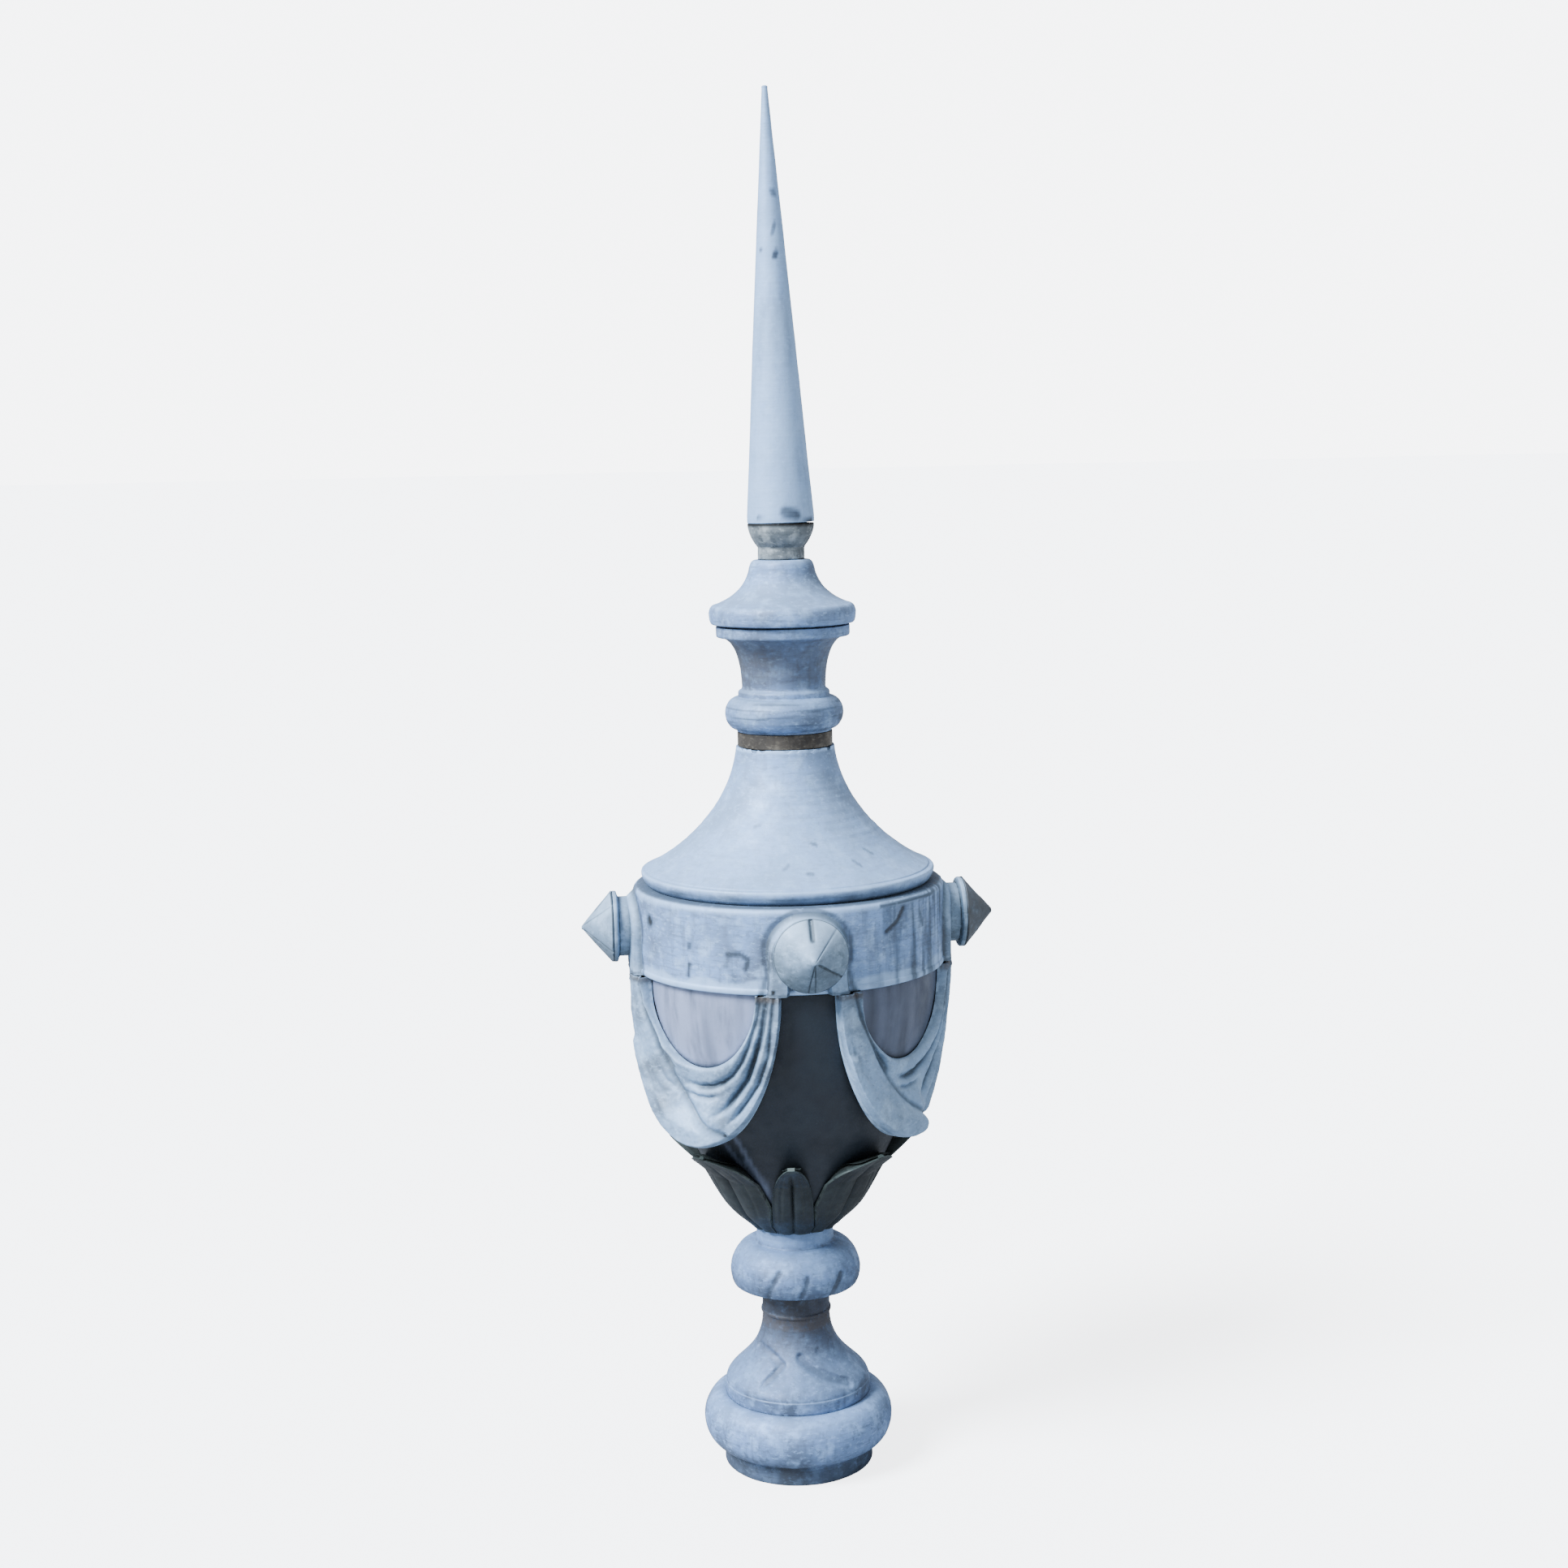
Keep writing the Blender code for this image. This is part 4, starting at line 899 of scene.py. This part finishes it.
def set_camera():
    """The photograph's place, aim and roll."""
    distance, stand = 2.9984, 1.3831
    pitch, side, roll = (math.radians(degrees) for degrees in (8.3, -6.6, 1.15))
    aside = math.atan(2.3 / FOCAL_PIXELS)
    lens = bpy.data.cameras.new("view")
    lens.sensor_width = 36
    lens.lens = FOCAL_PIXELS / PHOTO_SIDE * 36
    camera = bpy.data.objects.new("view", lens)
    bpy.context.scene.collection.objects.link(camera)
    forward = Vector((-math.sin(side), math.cos(side), 0))
    look = (forward * math.cos(pitch) - Vector((0, 0, 1)) * math.sin(pitch)).normalized()
    look = Matrix.Rotation(aside, 3, "Z") @ look
    right = look.cross(Vector((0, 0, 1))).normalized()
    up = right.cross(look).normalized()
    turn = Matrix((right, up, -look)).transposed() @ Matrix.Rotation(-roll, 3, "Z")
    stand_at = Vector((math.sin(side) * distance, -math.cos(side) * distance, stand))
    camera.matrix_world = Matrix.Translation(stand_at) @ turn.to_4x4()
    bpy.context.scene.camera = camera


def set_light():
    """A pale floor under a broad soft lamp from the upper left, with a pale, even sky."""
    bpy.ops.object.select_all(action="DESELECT")
    bpy.ops.mesh.primitive_plane_add(size=400)
    floor = bpy.context.object
    floor.name = "studio_floor"
    paint = bpy.data.materials.new("studio_paper")
    paint.use_nodes = True
    shader = paint.node_tree.nodes["Principled BSDF"]
    shader.inputs["Roughness"].default_value = 1.0
    shader.inputs["Specular IOR Level"].default_value = 0.0
    shader.inputs["Emission Color"].default_value = hexed(SKY_WHITE)
    # The paper looks bright, but throws little light back up at the undersides
    seen = add(paint.node_tree, "LightPath").outputs["Is Camera Ray"]
    tone = add(paint.node_tree, "Mix", {0: seen, 6: hexed("#a3a5a8"), 7: hexed("#f4f5f7")}, data_type="RGBA")
    glow = add(paint.node_tree, "Math", {0: seen, 1: PAPER_GLOW}, operation="MULTIPLY")
    paint.node_tree.links.new(tone.outputs[2], shader.inputs["Base Color"])
    paint.node_tree.links.new(glow.outputs[0], shader.inputs["Emission Strength"])
    floor.data.materials.append(paint)

    sky = bpy.data.worlds.new("studio_sky")
    sky.use_nodes = True
    tree = sky.node_tree
    lighting = tree.nodes["Background"]
    lighting.inputs[0].default_value = hexed(SKY_WHITE)
    seen = add(tree, "LightPath").outputs["Is Camera Ray"]
    level = add(tree, "MapRange", {"Value": seen, "To Min": SKY, "To Max": BACKDROP}).outputs[0]
    tree.links.new(level, lighting.inputs[1])
    bpy.context.scene.world = sky
    lamp = bpy.data.lights.new("broad_lamp", "SUN")
    lamp.energy = LAMP
    lamp.angle = math.radians(24)
    lamp.color = hexed("#eef6ff")[:3]
    holder = bpy.data.objects.new("broad_lamp", lamp)
    bpy.context.scene.collection.objects.link(holder)
    holder.rotation_euler = Vector((-1.28, -0.66, 1.30)).to_track_quat("Z", "Y").to_euler()


make_foot()
make_knop()
make_bowl()
make_leaves()
make_band()
make_plates()
make_bosses()
make_swags()
make_lid()
make_neck()
make_cap()
make_spire()
set_camera()
set_light()
